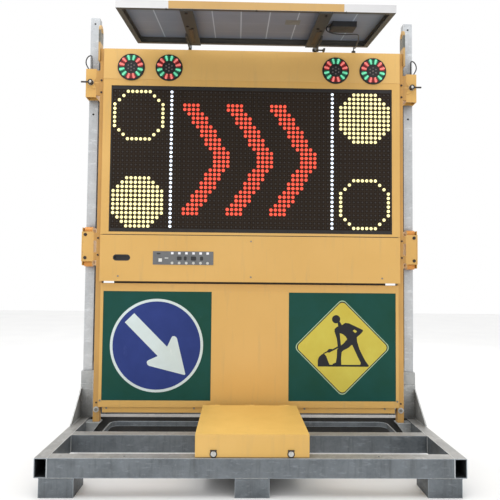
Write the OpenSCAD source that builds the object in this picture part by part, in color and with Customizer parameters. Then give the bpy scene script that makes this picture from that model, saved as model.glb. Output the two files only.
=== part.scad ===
// Skid-mounted solar LED road-works board: a galvanised base with two masts,
// and a yellow board that slides on the masts. Origin: on the ground, midway
// between the masts. The board faces -Y.

/* [Base] */
// Overall width over the side rails
base_w = 2220; // [2000:10:2700]
// Overall depth, front to back
base_d = 1760; // [1500:10:2200]
// Height of every base rail
rail_h = 100; // [90:5:120]
// Width of a side rail tube
side_rail_w = 65; // [60:5:75]
// Depth of a cross rail tube
cross_rail_w = 75; // [60:5:85]
// Wall of the rail tubes
rail_wall = 4; // [3:0.5:6]
// Distance from the mast line to each inner cross rail
inner_rail_y = 425; // [400:5:450]
// Height of the feet, which is the height of the fork pockets
foot_h = 100; // [80:5:130]
// Width of a foot
foot_w = 178; // [150:2:200]
// Depth of a foot
foot_d = 190; // [150:5:220]
// Wall of a foot
foot_wall = 6; // [4:1:8]
// Distance of the outer feet in from the side of the base
foot_inset = 24; // [0:2:40]

/* [Masts] */
// Height of the mast tops above the ground
mast_top = 2880; // [2750:10:3200]
// Outside size of the square mast tube
mast_size = 60; // [50:5:70]
// Wall of the mast tube
mast_wall = 4; // [3:0.5:6]
// Gap between the mast and its socket, each side
mast_fit = 2; // [1:0.5:3]
// Wall of the socket
socket_wall = 8; // [6:1:10]
// Height of the socket above the rails
socket_h = 300; // [250:10:350]
// Height of the stiffened lower part of the socket
socket_boot_h = 216; // [180:2:230]
// Reach of a gusset along the side rail
gusset_reach = 222; // [180:2:260]
// Height of a gusset
gusset_h = 192; // [150:2:220]
// Thickness of a gusset
gusset_t = 8; // [6:1:12]
// Diameter of the stop pin holes in the masts
mast_hole_d = 14; // [10:1:18]

/* [Board] */
// Height of the shoes that the board stands on, above the ground
shoe_z = 193; // [185:1:197]
// How far the board can slide up the masts
lift_travel = 340; // [200:10:360]
// Width of a board post
post_w = 40; // [35:1:45]
// Depth of a board post
post_d = 50; // [40:2:60]
// Wall of a board post
post_wall = 3; // [2:0.5:4]
// Gap between a post and its mast
post_gap = 37; // [30:1:45]
// Distance from the mast line forward to the front face of the posts
post_front = 137; // [130:1:150]
// Height of the top of the posts above the ground
post_top = 2625; // [2615:5:2640]
// Sheet thickness of the boxes on the board
sheet = 3; // [2:0.5:4]

/* [Display] */
// Height of the top of the display cabinet
cab_top = 2610; // [2590:5:2615]
// Height of the bottom of the display cabinet
cab_bottom = 1394; // [1385:1:1400]
// Distance from the mast line forward to the front of the cabinet
cab_front = 180; // [170:1:195]
// Distance from the mast line forward to the back of the cabinet
cab_back = 20; // [0:5:40]
// How far the front of each box stands out past the inside of the posts
front_lap = 7; // [3:1:12]
// Width of the display window
window_w = 1836; // [1830:2:1860]
// Height of the display window
window_h = 956; // [940:2:960]
// Height of the middle of the display above the ground
window_z = 1890; // [1888:1:1892]
// Distance between neighbouring light points
dot_pitch = 28.4; // [27:0.1:28.6]
// Light points along one side of a display module
module_dots = 16; // [12:4:16]
// Modules across the display
modules_x = 4; // [2:1:4]
// Modules up the display
modules_z = 2; // [1:1:2]
// Thickness of a display module
module_t = 26; // [20:1:30]
// Height of the header panel
header_h = 200; // [190:2:204]
// Outside diameter of a warning lamp
lamp_d = 172; // [150:2:180]
// Height of the lamps above the ground
lamp_z = 2488; // [2480:1:2510]
// Distance of the inner lamps from the middle
lamp_inner_x = 546; // [500:2:560]
// Distance of the outer lamps from the middle
lamp_outer_x = 792; // [780:2:840]

/* [Control box] */
// Height of the top of the control box
box_top = 1391; // [1388:1:1392]
// Height of the bottom of the control box
box_bottom = 1094; // [1090:1:1110]
// Distance from the mast line forward to the back of the control box
box_back = 40; // [20:5:60]
// Width of the keypad plate
keypad_w = 388; // [370:2:400]
// Height of the keypad plate
keypad_h = 86; // [80:1:95]
// Distance of the middle of the keypad left of the middle of the board
keypad_x = 436; // [400:2:460]
// Height of the middle of the keypad above the ground
keypad_z = 1245; // [1240:1:1250]
// Distance between neighbouring buttons
button_pitch = 45.5; // [40:0.5:48]
// Diameter of a button
button_d = 17; // [14:0.5:20]
// Travel of a button
button_travel = 1.2; // [0.8:0.1:1.3]

/* [Sign box] */
// Height of the top of the sign box
sign_top = 1080; // [1076:1:1085]
// Height of the bottom of the sign frame
sign_bottom = 287; // [280:1:300]
// Side of a square sign plate
plate_size = 700; // [680:5:700]
// Thickness of a sign plate
plate_t = 25; // [15:1:30]
// Height of the upper bar of the sign frame
sign_header = 51; // [45:1:60]
// Depth of the sign box
sign_depth = 70; // [60:5:80]
// Height of the set-back strip under the sign frame
skirt_h = 36; // [30:1:45]

/* [Slides] */
// Height of the bottom of an upper sleeve
sleeve_z = 2310; // [2280:5:2320]
// Height of an upper sleeve
sleeve_h = 190; // [170:5:200]
// Running gap between the mast and a sleeve or guide, each side
slide_fit = 1; // [0.5:0.5:2]
// Plate of the sleeves and guides
slide_plate = 4; // [3:1:5]
// Reach of a sleeve or guide forward of the mast line
slide_front = 105; // [98:1:110]
// Height of the middle of a lower guide
guide_z = 1318; // [1300:2:1330]
// Height of the front plate of a lower guide
guide_h = 196; // [180:2:210]
// Distance between the two rollers of a guide
roller_span = 208; // [190:2:220]
// Diameter of a guide roller
roller_d = 54; // [50:1:58]
// Width of a guide roller
roller_w = 54; // [40:1:58]
// Diameter of a roller axle
axle_d = 16; // [12:1:20]
// Diameter of the clamp screw
clamp_d = 16; // [12:1:20]
// Height of the top of the lifting lugs above the posts
lug_rise = 165; // [150:5:200]
// Diameter of the hole in a lifting lug
lug_hole_d = 40; // [30:1:44]
// Thickness of a lifting lug
lug_t = 12; // [10:1:16]

/* [Solar panel] */
// Width of the solar panel
solar_w = 1480; // [1400:10:1500]
// Depth of the solar panel
solar_d = 670; // [650:5:700]
// Height of the solar panel's frame
solar_t = 40; // [35:1:50]
// Angle by which the front of the panel hangs lower at rest
solar_rest = 7.6; // [0:0.1:9]
// Height of the tilt pivot above the cabinet
pivot_rise = 58; // [56:1:62]
// Distance from the mast line forward to the tilt pivot
pivot_front = 150; // [145:1:155]
// Distance from the pivot forward to the back edge of the panel
solar_gap = 100; // [95:1:110]
// Distance from the pivot down to the underside of the panel
solar_drop = 35; // [34:1:38]
// Distance of the arms from the middle of the board
arm_x = 406; // [380:2:430]
// Thickness of an arm
arm_t = 8; // [6:1:10]
// Width of the flat rail under the panel
solar_rail_w = 70; // [60:2:80]

/* [Battery box] */
// Width of the battery cover
cover_w = 590; // [560:5:620]
// Depth of the battery cover
cover_d = 655; // [640:5:700]
// Height of the battery cover
cover_h = 118; // [112:1:130]
// Distance of the cover back from the front of the base
cover_inset = 12; // [5:1:20]
// Length of a battery, front to back
battery_l = 326; // [300:2:330]
// Width of a battery
battery_w = 172; // [160:2:180]
// Height of a battery
battery_h = 188; // [170:2:190]

/* [Hidden] */
$fn = 48;

eps = 0.01;
sides = [-1, 1];
// Radial play of a shaft that turns in its hole
run_fit = 0.08;
// Gap between pieces that stand beside each other
near_gap = 0.5;
hair = 0.3;

rail_top = foot_h + rail_h;
socket_size = mast_size + 2 * (mast_fit + socket_wall);
mast_x = base_w / 2 - socket_size / 2;
rail_in_x = base_w / 2 - side_rail_w;
post_out_x = mast_x - mast_size / 2 - post_gap;
post_in_x = post_out_x - post_w;
box_in_x = post_in_x - 1;
lap_x = post_in_x + front_lap;
face_t = 2;

module box(low, high) {
  translate(low) cube(high - low);
}

// A box that spans both sides of the middle plane
module wide_box(half, y0, y1, z0, z1) {
  box([-half, y0, z0], [half, y1, z1]);
}

module rod(from, to, d) {
  axis = to - from;
  len = norm(axis);
  translate(from)
    rotate([0, acos(axis[2] / len), atan2(axis[1], axis[0])])
      cylinder(d = d, h = len);
}

module rod_x(x0, x1, y, z, d) {
  translate([x0, y, z]) rotate([0, 90, 0]) cylinder(d = d, h = x1 - x0);
}

// A cylinder along Y, from the lower y to the higher
module rod_y(x, y0, y1, z, d) {
  translate([x, y1, z]) rotate([90, 0, 0]) cylinder(d = d, h = y1 - y0);
}

// A plate in the XZ plane, made from a flat outline
module plate_y(y0, y1) {
  translate([0, y1, 0]) rotate([90, 0, 0]) linear_extrude(y1 - y0) children();
}

// A plate in the YZ plane, made from an outline whose x is the depth
module plate_x(x0, x1) {
  translate([x0, 0, 0]) rotate([90, 0, 90]) linear_extrude(x1 - x0) children();
}

// Smooth points along a hand-chosen route
function spline(p, n) = concat(
  [for (i = [0 : len(p) - 2]) for (k = [0 : n - 1])
    let (t = k / n,
         a = p[max(i - 1, 0)], b = p[i], c = p[i + 1], d = p[min(i + 2, len(p) - 1)])
    0.5 * (2 * b + (c - a) * t + (2 * a - 5 * b + 4 * c - d) * t * t
      + (3 * b - a - 3 * c + d) * t * t * t)],
  [p[len(p) - 1]]);
function unit(v) = v / norm(v);
function heading(p, i) = unit(p[min(i + 1, len(p) - 1)] - p[max(i - 1, 0)]);
function square_to(v, t) = unit(v - (v * t) * t);
function carry(p, i, v) = i >= len(p) ? []
  : let (w = square_to(v, heading(p, i))) concat([w], carry(p, i + 1, w));

// A round tube swept along points
module sweep(p, d, around) {
  side = carry(p, 0, around);
  n = 8;
  rings = len(p);
  points = [for (i = [0 : rings - 1]) for (k = [0 : n - 1])
    p[i] + d / 2 * (cos(360 * k / n) * side[i] + sin(360 * k / n) * cross(heading(p, i), side[i]))];
  skin = [for (i = [0 : rings - 2]) for (k = [0 : n - 1])
    [i * n + k, (i + 1) * n + k, (i + 1) * n + (k + 1) % n, i * n + (k + 1) % n]];
  ends = [[for (k = [0 : n - 1]) k], [for (k = [n - 1 : -1 : 0]) (rings - 1) * n + k]];
  polyhedron(points = points, faces = concat(skin, ends));
}

// ---- base ----

module tube_y(x0, x1, y0, y1, z0, z1, wall) {
  difference() {
    box([x0, y0, z0], [x1, y1, z1]);
    box([x0 + wall, y0 - 1, z0 + wall], [x1 - wall, y1 + 1, z1 - wall]);
  }
}

module tube_x(x0, x1, y0, y1, z0, z1, wall) {
  difference() {
    box([x0, y0, z0], [x1, y1, z1]);
    box([x0 - 1, y0 + wall, z0 + wall], [x1 + 1, y1 - wall, z1 - wall]);
  }
}

module side_rails() {
  color("darkgray")
    for (s = sides)
      scale([s, 1, 1])
        tube_y(rail_in_x, base_w / 2, -base_d / 2, base_d / 2, foot_h, rail_top, rail_wall);
}

// Two bolt holes for a barrier bracket on the top of the front rail
tie_hole_d = 14;
tie_hole_x = 660;

module front_rail() {
  y0 = -base_d / 2;
  color("darkgray")
    difference() {
      tube_x(-rail_in_x, rail_in_x, y0, y0 + cross_rail_w, foot_h, rail_top, rail_wall);
      for (s = sides)
        translate([s * tie_hole_x, y0 + cross_rail_w / 2, rail_top - 2 * rail_wall])
          cylinder(d = tie_hole_d, h = 3 * rail_wall);
    }
}

module cross_rails() {
  rear = base_d / 2 - cross_rail_w / 2;
  color("gray")
    for (y = [-inner_rail_y, 0, inner_rail_y, rear])
      tube_x(-rail_in_x, rail_in_x, y - cross_rail_w / 2, y + cross_rail_w / 2,
        foot_h, rail_top, rail_wall);
}

foot_x = base_w / 2 - foot_inset - foot_w / 2;
foot_y = base_d / 2 - foot_d / 2 - 2;

module foot(x, y) {
  translate([x, y, 0])
    difference() {
      box([-foot_w / 2, -foot_d / 2, 0], [foot_w / 2, foot_d / 2, foot_h]);
      box([-foot_w / 2 + foot_wall, -foot_d / 2 + foot_wall, foot_wall],
        [foot_w / 2 - foot_wall, foot_d / 2 - foot_wall, foot_h + 1]);
    }
}

module base_feet() {
  color("darkgray")
    for (x = [-foot_x, 0, foot_x]) for (y = [-foot_y, foot_y]) foot(x, y);
}

module gusset(s, f) {
  inner = base_w / 2 - gusset_t;
  face = socket_size / 2;
  scale([s, f, 1])
    plate_x(inner, base_w / 2)
      polygon([[face - 1, rail_top], [face + gusset_reach, rail_top],
        [face + gusset_reach, rail_top + 12], [face + 8, rail_top + gusset_h],
        [face - 1, rail_top + gusset_h]]);
}

module mast_sockets() {
  half = socket_size / 2;
  bore = mast_size / 2 + mast_fit;
  boot = 3;
  color("silver")
    for (s = sides)
      union() {
        difference() {
          translate([s * mast_x, 0, rail_top])
            union() {
              box([-half, -half, 0], [half, half, socket_h]);
              box([-half, -half - boot, 0], [half, half + boot, socket_boot_h]);
            }
          translate([s * mast_x, 0, rail_top])
            box([-bore, -bore, -1], [bore, bore, socket_h + 1]);
        }
        for (f = sides) gusset(s, f);
      }
}

pin_drop = 42;
stop_hole_z = 2215;

module masts() {
  half = mast_size / 2;
  hollow = half - mast_wall;
  color("gainsboro")
    for (s = sides)
      difference() {
        translate([s * mast_x, 0, 0]) box([-half, -half, rail_top], [half, half, mast_top]);
        translate([s * mast_x, 0, 0])
          box([-hollow, -hollow, rail_top - 1], [hollow, hollow, mast_top + 1]);
        rod_y(s * mast_x, -half - 1, half + 1, mast_top - pin_drop, mast_hole_d);
        rod_y(s * mast_x, -half - 1, half + 1, stop_hole_z, mast_hole_d);
      }
}

shoe_t = 6;
shoe_lip = 8;

module post_shoes() {
  x0 = post_in_x - shoe_lip;
  y0 = -post_front - shoe_lip;
  y1 = -post_front + post_d + shoe_lip;
  web_z = foot_h + 12;
  web_y = (y0 + y1) / 2;
  color("lightgray")
    for (s = sides)
      scale([s, 1, 1])
        union() {
          box([x0, y0, shoe_z - shoe_t], [rail_in_x, y1, shoe_z]);
          plate_y(y0 + 4, y0 + 4 + shoe_t)
            polygon([[x0 + 4, shoe_z - shoe_t], [rail_in_x, shoe_z - shoe_t],
              [rail_in_x, web_z], [rail_in_x - 30, web_z]]);
          plate_y(web_y + 10, web_y + 10 + shoe_t)
            polygon([[x0 + 4, shoe_z - shoe_t], [rail_in_x, shoe_z - shoe_t],
              [rail_in_x, web_z], [rail_in_x - 30, web_z]]);
        }
}

// A bent flat bar behind the inner cross rail, which keeps cables off the ground
guard_t = 8;
guard_w = 30;
guard_half = 885;
guard_r = 60;
guard_y = 150;

module guard_outline() {
  union() {
    translate([-guard_half + guard_r, -guard_y]) square([2 * (guard_half - guard_r), guard_t]);
    for (s = sides)
      scale([s, 1])
        union() {
          translate([guard_half - guard_t, -inner_rail_y + cross_rail_w / 2])
            square([guard_t, inner_rail_y - cross_rail_w / 2 - guard_y - guard_r + guard_t]);
          translate([guard_half - guard_r, -guard_y - guard_r + guard_t])
            intersection() {
              difference() {
                circle(r = guard_r);
                circle(r = guard_r - guard_t);
              }
              square(guard_r);
            }
        }
  }
}

module cable_guard_bar() {
  color("silver")
    translate([0, 0, rail_top - guard_w]) linear_extrude(guard_w) guard_outline();
}

// ---- battery box ----

cover_front_y = -base_d / 2 + cover_inset;
cover_back_y = cover_front_y + cover_d;
tray_wall = 2;
tray_y0 = -base_d / 2 + cross_rail_w;
tray_y1 = -inner_rail_y - cross_rail_w / 2;
tray_half = cover_w / 2 - 14;
battery_gap = 30;

// A hooked keeper that the cam of a cover latch turns under, quarter turned
module keeper(x) {
  y0 = cover_front_y + sheet + 1;
  y1 = y0 + 15;
  z1 = latch_z + cam_half + 4 + sheet;
  near = x + cam_half + 4;
  far = near + 15;
  z0 = rail_top + tray_wall;
  box([near, y0, z1 - sheet], [far, y1, z1]);
  box([near, y1 - sheet, z0], [far, y1, z1]);
  box([near, y1 - sheet, z0], [far, tray_y0, z0 + sheet]);
}

module battery_tray() {
  color("dimgray")
    union() {
      difference() {
        box([-tray_half, tray_y0, foot_h], [tray_half, tray_y1, rail_top]);
        box([-tray_half + tray_wall, tray_y0 + tray_wall, foot_h + tray_wall],
          [tray_half - tray_wall, tray_y1 - tray_wall, rail_top + 1]);
      }
      box([-tray_half, tray_y0 - 30, rail_top], [tray_half, tray_y0 + tray_wall, rail_top + tray_wall]);
      box([-tray_half, tray_y1 - tray_wall, rail_top], [tray_half, tray_y1 + 30, rail_top + tray_wall]);
      for (s = sides) keeper(s * latch_x);
    }
}

module batteries() {
  y0 = (tray_y0 + tray_y1) / 2 - battery_l / 2;
  z0 = foot_h + tray_wall;
  color("darkslategray")
    for (s = sides)
      translate([s * (battery_w + battery_gap) / 2, y0, z0])
        union() {
          box([-battery_w / 2, 0, 0], [battery_w / 2, battery_l, battery_h]);
          for (y = [30, battery_l - 30])
            translate([40, y, battery_h - eps]) cylinder(d = 18, h = 12);
        }
}

// The hinge line runs along the top back edge of the cover
hinge_z = rail_top + cover_h - 4;
hinge_y = cover_back_y + 5;
knuckle_d = 12;
hinge_pin_d = 6;
knuckle_len = 60;
knuckle_xs = [-220, 0, 220];

module cover_back_plate() {
  half = cover_w / 2 - 8;
  plate_y0 = cover_back_y + 1;
  color("goldenrod")
    union() {
      difference() {
        union() {
          wide_box(half, plate_y0, plate_y0 + sheet, rail_top, hinge_z - knuckle_d / 2 - 4);
          wide_box(half, plate_y0, plate_y0 + 18, rail_top, rail_top + sheet);
          for (x = knuckle_xs)
            union() {
              rod_x(x - knuckle_len / 2, x, hinge_y, hinge_z, knuckle_d);
              box([x - knuckle_len / 2, plate_y0, hinge_z - knuckle_d], [x, plate_y0 + sheet, hinge_z - 1]);
            }
        }
        for (x = knuckle_xs)
          rod_x(x - knuckle_len / 2 - 1, x + 1, hinge_y, hinge_z, hinge_pin_d);
      }
      for (x = knuckle_xs)
        rod_x(x - knuckle_len / 2 - 2, x + knuckle_len / 2 + 2, hinge_y, hinge_z, hinge_pin_d);
      // Two feet carry the plate on the rail in front of it
      for (s = sides)
        box([s * (half - 20) - 20, tray_y1 + 32, rail_top],
          [s * (half - 20) + 20, plate_y0 + sheet, rail_top + sheet]);
    }
}

latch_x = 200;
latch_z = rail_top + 20;
latch_hole_d = 18;
cam_half = 5;
cam_reach = 17;

module battery_cover() {
  half = cover_w / 2;
  z0 = rail_top + 2;
  z1 = rail_top + cover_h;
  color("orange")
    difference() {
      union() {
        difference() {
          wide_box(half, cover_front_y, cover_back_y, z0, z1);
          wide_box(half - sheet, cover_front_y + sheet, cover_back_y + 1, z0 - 1, z1 - sheet);
        }
        for (x = knuckle_xs)
          union() {
            rod_x(x + near_gap, x + knuckle_len / 2, hinge_y, hinge_z, knuckle_d);
            box([x + near_gap, cover_back_y - 2, hinge_z], [x + knuckle_len / 2, hinge_y, z1]);
          }
      }
      for (x = knuckle_xs)
        rod_x(x - 1, x + knuckle_len / 2 + 1, hinge_y, hinge_z, hinge_pin_d + 2 * run_fit);
      for (s = sides)
        rod_y(s * latch_x, cover_front_y - 1, cover_front_y + sheet + 1, latch_z, latch_hole_d);
      for (x = knuckle_xs)
        rod_x(x - knuckle_len / 2 - near_gap, x + near_gap, hinge_y, hinge_z, knuckle_d + 2 * near_gap);
    }
}

module cover_latch(s) {
  y = cover_front_y;
  color("silver")
    union() {
      rod_y(s * latch_x, y - 4, y - near_gap, latch_z, 28);
      rod_y(s * latch_x, y - near_gap - eps, y + 16, latch_z, latch_hole_d - 2 * run_fit);
      box([s * latch_x - cam_half, y + 6, latch_z - cam_reach],
        [s * latch_x + cam_half, y + 10, latch_z + cam_half]);
      box([s * latch_x - 3, y - 12, latch_z - 11], [s * latch_x + 3, y - 3, latch_z + 11]);
    }
}

module left_cover_latch() { cover_latch(-1); }
module right_cover_latch() { cover_latch(1); }

// ---- board ----

module board_posts() {
  color("goldenrod")
    for (s = sides)
      scale([s, 1, 1])
        difference() {
          box([post_in_x, -post_front, shoe_z], [post_out_x, -post_front + post_d, post_top]);
          box([post_in_x + post_wall, -post_front + post_wall, shoe_z - 1],
            [post_out_x - post_wall, -post_front + post_d - post_wall, post_top + 1]);
        }
}

face_y = -cab_front + face_t;
window_z0 = window_z - window_h / 2;
window_z1 = window_z + window_h / 2;
header_z0 = cab_top - header_h;
lamp_xs = [-lamp_outer_x, -lamp_inner_x, lamp_inner_x, lamp_outer_x];
lamp_body_d = lamp_d - 22;
stile_w = 40;
module_side = module_dots * dot_pitch;
matrix_w = modules_x * module_side;
matrix_h = modules_z * module_side;
module_front = face_y + sheet + 1;
module_back = module_front + module_t;
stile_xs = [-matrix_w / 2, -module_side, 0, module_side, matrix_w / 2];

// The shell of a box whose front laps over the posts
module lapped_box(back, z0, z1, t) {
  inner_lap = lap_x - t;
  inner = box_in_x - t;
  difference() {
    union() {
      wide_box(lap_x, face_y, -post_front, z0, z1);
      wide_box(box_in_x, -post_front - eps, -back, z0, z1);
    }
    wide_box(inner_lap, face_y + t, -post_front - t, z0 + t, z1 - t);
    wide_box(inner, face_y + t, -back + 1, z0 + t, z1 - t);
  }
}

module display_cabinet() {
  gap = 0.5;
  color("orange")
    union() {
      difference() {
        lapped_box(cab_back, cab_bottom, cab_top, sheet);
        wide_box(window_w / 2, face_y - 1, face_y + sheet + 1, window_z0, window_z1);
        for (x = lamp_xs) rod_y(x, face_y - 1, face_y + sheet + 1, lamp_z, lamp_body_d + 4);
      }
      // Upright stiles that carry the display modules
      for (x = stile_xs)
        box([x - stile_w / 2, module_back, cab_bottom + sheet - eps],
          [x + stile_w / 2, module_back + 14, window_z1 + 12]);
      wide_box(box_in_x - sheet + eps, module_back, module_back + 14, window_z1 + 12 - eps, window_z1 + 26);
      // A middle post that both rear panels meet on
      box([-20, -cab_back - 20, cab_bottom + sheet - eps], [20, -cab_back, cab_top - sheet + eps]);
      box([-20, module_back + 14 - eps, window_z - 20], [20, -cab_back - 10, window_z + 20]);
      // Cable gland for the solar lead
      translate([gland_x, gland_y, cab_top - eps]) cylinder(d = gland_d, h = gland_h + eps);
    }
}

module header_panel() {
  color("gold")
    difference() {
      wide_box(lap_x, -cab_front, face_y, header_z0, cab_top);
      for (x = lamp_xs) rod_y(x, -cab_front - 1, face_y + 1, lamp_z, lamp_body_d + 2);
    }
}

module display_mask() {
  lap = 12;
  color("black")
    difference() {
      wide_box(window_w / 2 + lap, face_y + sheet, module_back, window_z0 - 8, window_z1 + lap - 4);
      wide_box(matrix_w / 2 + near_gap, face_y, module_back + 1,
        window_z - matrix_h / 2 - near_gap, window_z + matrix_h / 2 + near_gap);
    }
}

module led_modules() {
  m = module_side / 2 - near_gap;
  color("dimgray")
    for (i = [0 : modules_x - 1]) for (k = [0 : modules_z - 1])
      translate([(i - (modules_x - 1) / 2) * module_side, 0,
          window_z + (k - (modules_z - 1) / 2) * module_side])
        box([-m, module_front, -m], [m, module_back, m]);
}

module lamp_housings() {
  color("black")
    for (x = lamp_xs)
      difference() {
        union() {
          rod_y(x, -cab_front - 8, -cab_front, lamp_z, lamp_d);
          rod_y(x, -cab_front - eps, -cab_front + 55, lamp_z, lamp_body_d);
        }
        rod_y(x, -cab_front - 9, -cab_front - 5, lamp_z, lamp_d - 12);
      }
}

// One petal of a warning lamp: a wedge with rounded corners cut square
petal_in = 0.26;
petal_out = 0.44;

module petal(turn) {
  rotate(turn)
    intersection() {
      difference() {
        circle(d = 2 * petal_out * lamp_d);
        circle(d = 2 * petal_in * lamp_d);
      }
      polygon([[0, 0], [lamp_d, lamp_d * tan(12.5)], [lamp_d, -lamp_d * tan(12.5)]]);
    }
}

// Petals come in pairs of one colour, six pairs to a lamp
module petals(first) {
  for (x = lamp_xs) for (pair = [0 : 2]) for (half = sides)
    translate([x, 0, lamp_z])
      plate_y(-cab_front - 9, -cab_front - 5)
        petal(first + 120 * pair + 15 * half);
}

module lamp_petals_red() { color("tomato") petals(30); }
module lamp_petals_green() { color("mediumseagreen") petals(90); }

module power_supplies() {
  y0 = module_back + 14;
  color("silver")
    for (s = sides) for (z = [window_z - 240, window_z + 240])
      box([s * module_side - 58, y0, z - 108], [s * module_side + 58, y0 + 50, z + 108]);
}

module charge_controller() {
  color("steelblue")
    box([180, -box_back - sheet - 60, box_bottom + 90], [360, -box_back - sheet, box_bottom + 200]);
}

flange_low = 46;
flange_top = 46;
panel_gap = 0.5;

module control_box() {
  color("orange")
    union() {
      difference() {
        lapped_box(box_back, box_bottom, box_top, sheet);
        wide_box(lap_x - 40, face_y - 1, face_y + sheet + 1, box_bottom + flange_low, box_top - flange_top);
      }
      wide_box(box_in_x, -box_back - sheet, -box_back, box_bottom, box_top);
    }
}

keypad_lap = 4;
recess_x = 831;
recess_w = 100;
recess_h = 30;

module slot_outline(w, h) {
  union() {
    translate([-(w - h) / 2, -h / 2]) square([w - h, h]);
    for (s = sides) translate([s * (w - h) / 2, 0]) circle(d = h);
  }
}

module control_panel() {
  color("orange")
    difference() {
      wide_box(lap_x, -cab_front, face_y, box_bottom, box_top);
      translate([-recess_x, 0, keypad_z])
        plate_y(-cab_front - 1, face_y + 1) slot_outline(recess_w, recess_h);
      box([-keypad_x - keypad_w / 2 + keypad_lap, -cab_front - 1, keypad_z - keypad_h / 2 + keypad_lap],
        [-keypad_x + keypad_w / 2 - keypad_lap, face_y + 1, keypad_z + keypad_h / 2 - keypad_lap]);
    }
}

button_x0 = -keypad_x - 70;
button_z = keypad_z - 32;
lamp_row_z = keypad_z + 31;
power_x = -keypad_x - 146;
power_z = keypad_z - 14;
key_face = -cab_front - 3;
stem_d = 10;

module keypad_plate() {
  color("lightgray")
    difference() {
      box([-keypad_x - keypad_w / 2, key_face, keypad_z - keypad_h / 2],
        [-keypad_x + keypad_w / 2, -cab_front, keypad_z + keypad_h / 2]);
      for (i = [0 : 5])
        rod_y(button_x0 + i * button_pitch, key_face - 1, -cab_front + 1, button_z, stem_d + 2 * run_fit);
      rod_y(power_x, key_face - 1, -cab_front + 1, power_z, stem_d + 2 * run_fit);
    }
}

module indicator_lamps() {
  color("white")
    for (i = [0 : 5])
      translate([button_x0 + i * button_pitch, 0, lamp_row_z])
        box([-8, key_face - 3, -7], [8, key_face, 7]);
}

module stem(x, z) {
  rod_y(x, key_face - button_travel - 0.3 - eps, key_face + 9, z, stem_d);
}

module push_button(i) {
  x = button_x0 + i * button_pitch;
  y1 = key_face - button_travel - 0.3;
  color("gray")
    union() {
      rod_y(x, y1 - 4, y1, button_z, button_d);
      stem(x, button_z);
    }
}

module button_1() { push_button(0); }
module button_2() { push_button(1); }
module button_3() { push_button(2); }
module button_4() { push_button(3); }
module button_5() { push_button(4); }
module button_6() { push_button(5); }

module power_button() {
  y1 = key_face - button_travel - 0.3;
  half = 11;
  color("white")
    union() {
      box([power_x - half, y1 - 4, power_z - half], [power_x + half, y1, power_z + half]);
      stem(power_x, power_z);
    }
}

module pull_recess() {
  deep = 18;
  rim = 2;
  color("dimgray")
    translate([-recess_x, 0, keypad_z])
      difference() {
        union() {
          plate_y(-cab_front - 1, -cab_front) slot_outline(recess_w + 10, recess_h + 10);
          plate_y(-cab_front - eps, -cab_front + deep)
            slot_outline(recess_w - 0.4, recess_h - 0.4);
        }
        plate_y(-cab_front - 2, -cab_front + deep - rim)
          slot_outline(recess_w - 0.4 - 2 * rim, recess_h - 0.4 - 2 * rim);
      }
}

sign_face = post_front + sheet;
plate_z0 = sign_top - sign_header - plate_size;
panel_half = box_in_x - 11 - plate_size;
skirt_back = 9;

module sign_frame() {
  back = -sign_face + sign_depth;
  color("orange")
    union() {
      wide_box(box_in_x, -sign_face, back, sign_top - sign_header, sign_top);
      wide_box(box_in_x, -sign_face, back, sign_bottom, plate_z0);
      wide_box(lap_x, -sign_face, -post_front, sign_top - sign_header, sign_top);
      wide_box(lap_x, -sign_face, -post_front, sign_bottom, plate_z0);
      for (s = sides)
        scale([s, 1, 1])
          union() {
            box([panel_half + plate_size, -sign_face, plate_z0 - eps],
              [lap_x, -post_front, sign_top - sign_header + eps]);
            box([panel_half + plate_size, -post_front - eps, plate_z0 - eps],
              [box_in_x, back, sign_top - sign_header + eps]);
            box([panel_half - 14, -post_front, plate_z0 - eps],
              [panel_half, back, sign_top - sign_header + eps]);
          }
      wide_box(box_in_x - 16, -sign_face + skirt_back, back, sign_bottom - skirt_h, sign_bottom + eps);
      wide_box(box_in_x, back - sheet, back, plate_z0 - eps, sign_top - sign_header + eps);
    }
}

module sign_plate(s) {
  color("seagreen")
    scale([s, 1, 1])
      box([panel_half, -sign_face + 2, plate_z0], [panel_half + plate_size, -sign_face + 2 + plate_t,
        plate_z0 + plate_size]);
}

module left_sign_plate() { sign_plate(-1); }
module right_sign_plate() { sign_plate(1); }

module centre_panel() {
  color("orange")
    wide_box(panel_half, -sign_face, -post_front, plate_z0, plate_z0 + plate_size);
}

module rear_panels() {
  color("goldenrod")
    for (s = sides)
      scale([s, 1, 1])
        union() {
          box([2, -cab_back, cab_bottom + 2], [box_in_x, -cab_back + sheet, cab_top - 2]);
          for (z = [cab_bottom + 330, cab_top - 330])
            difference() {
              box([box_in_x / 2 - 120, -cab_back + sheet - eps, z - 70],
                [box_in_x / 2 + 120, -cab_back + 22, z + 70]);
              for (k = [0 : 3])
                box([box_in_x / 2 - 108, -cab_back + 2 * sheet, z - 56 + 30 * k],
                  [box_in_x / 2 + 108, -cab_back + 23, z - 40 + 30 * k]);
            }
        }
}

// A hexagon head with its washer, on a face that looks towards -Y
module hex_bolt(x, face, z, d) {
  union() {
    rod_y(x, face - 2, face, z, 2.4 * d);
    translate([x, face - 2 + eps, z]) rotate([90, 0, 0]) cylinder(d = 1.9 * d, h = 0.65 * d, $fn = 6);
  }
}

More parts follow.
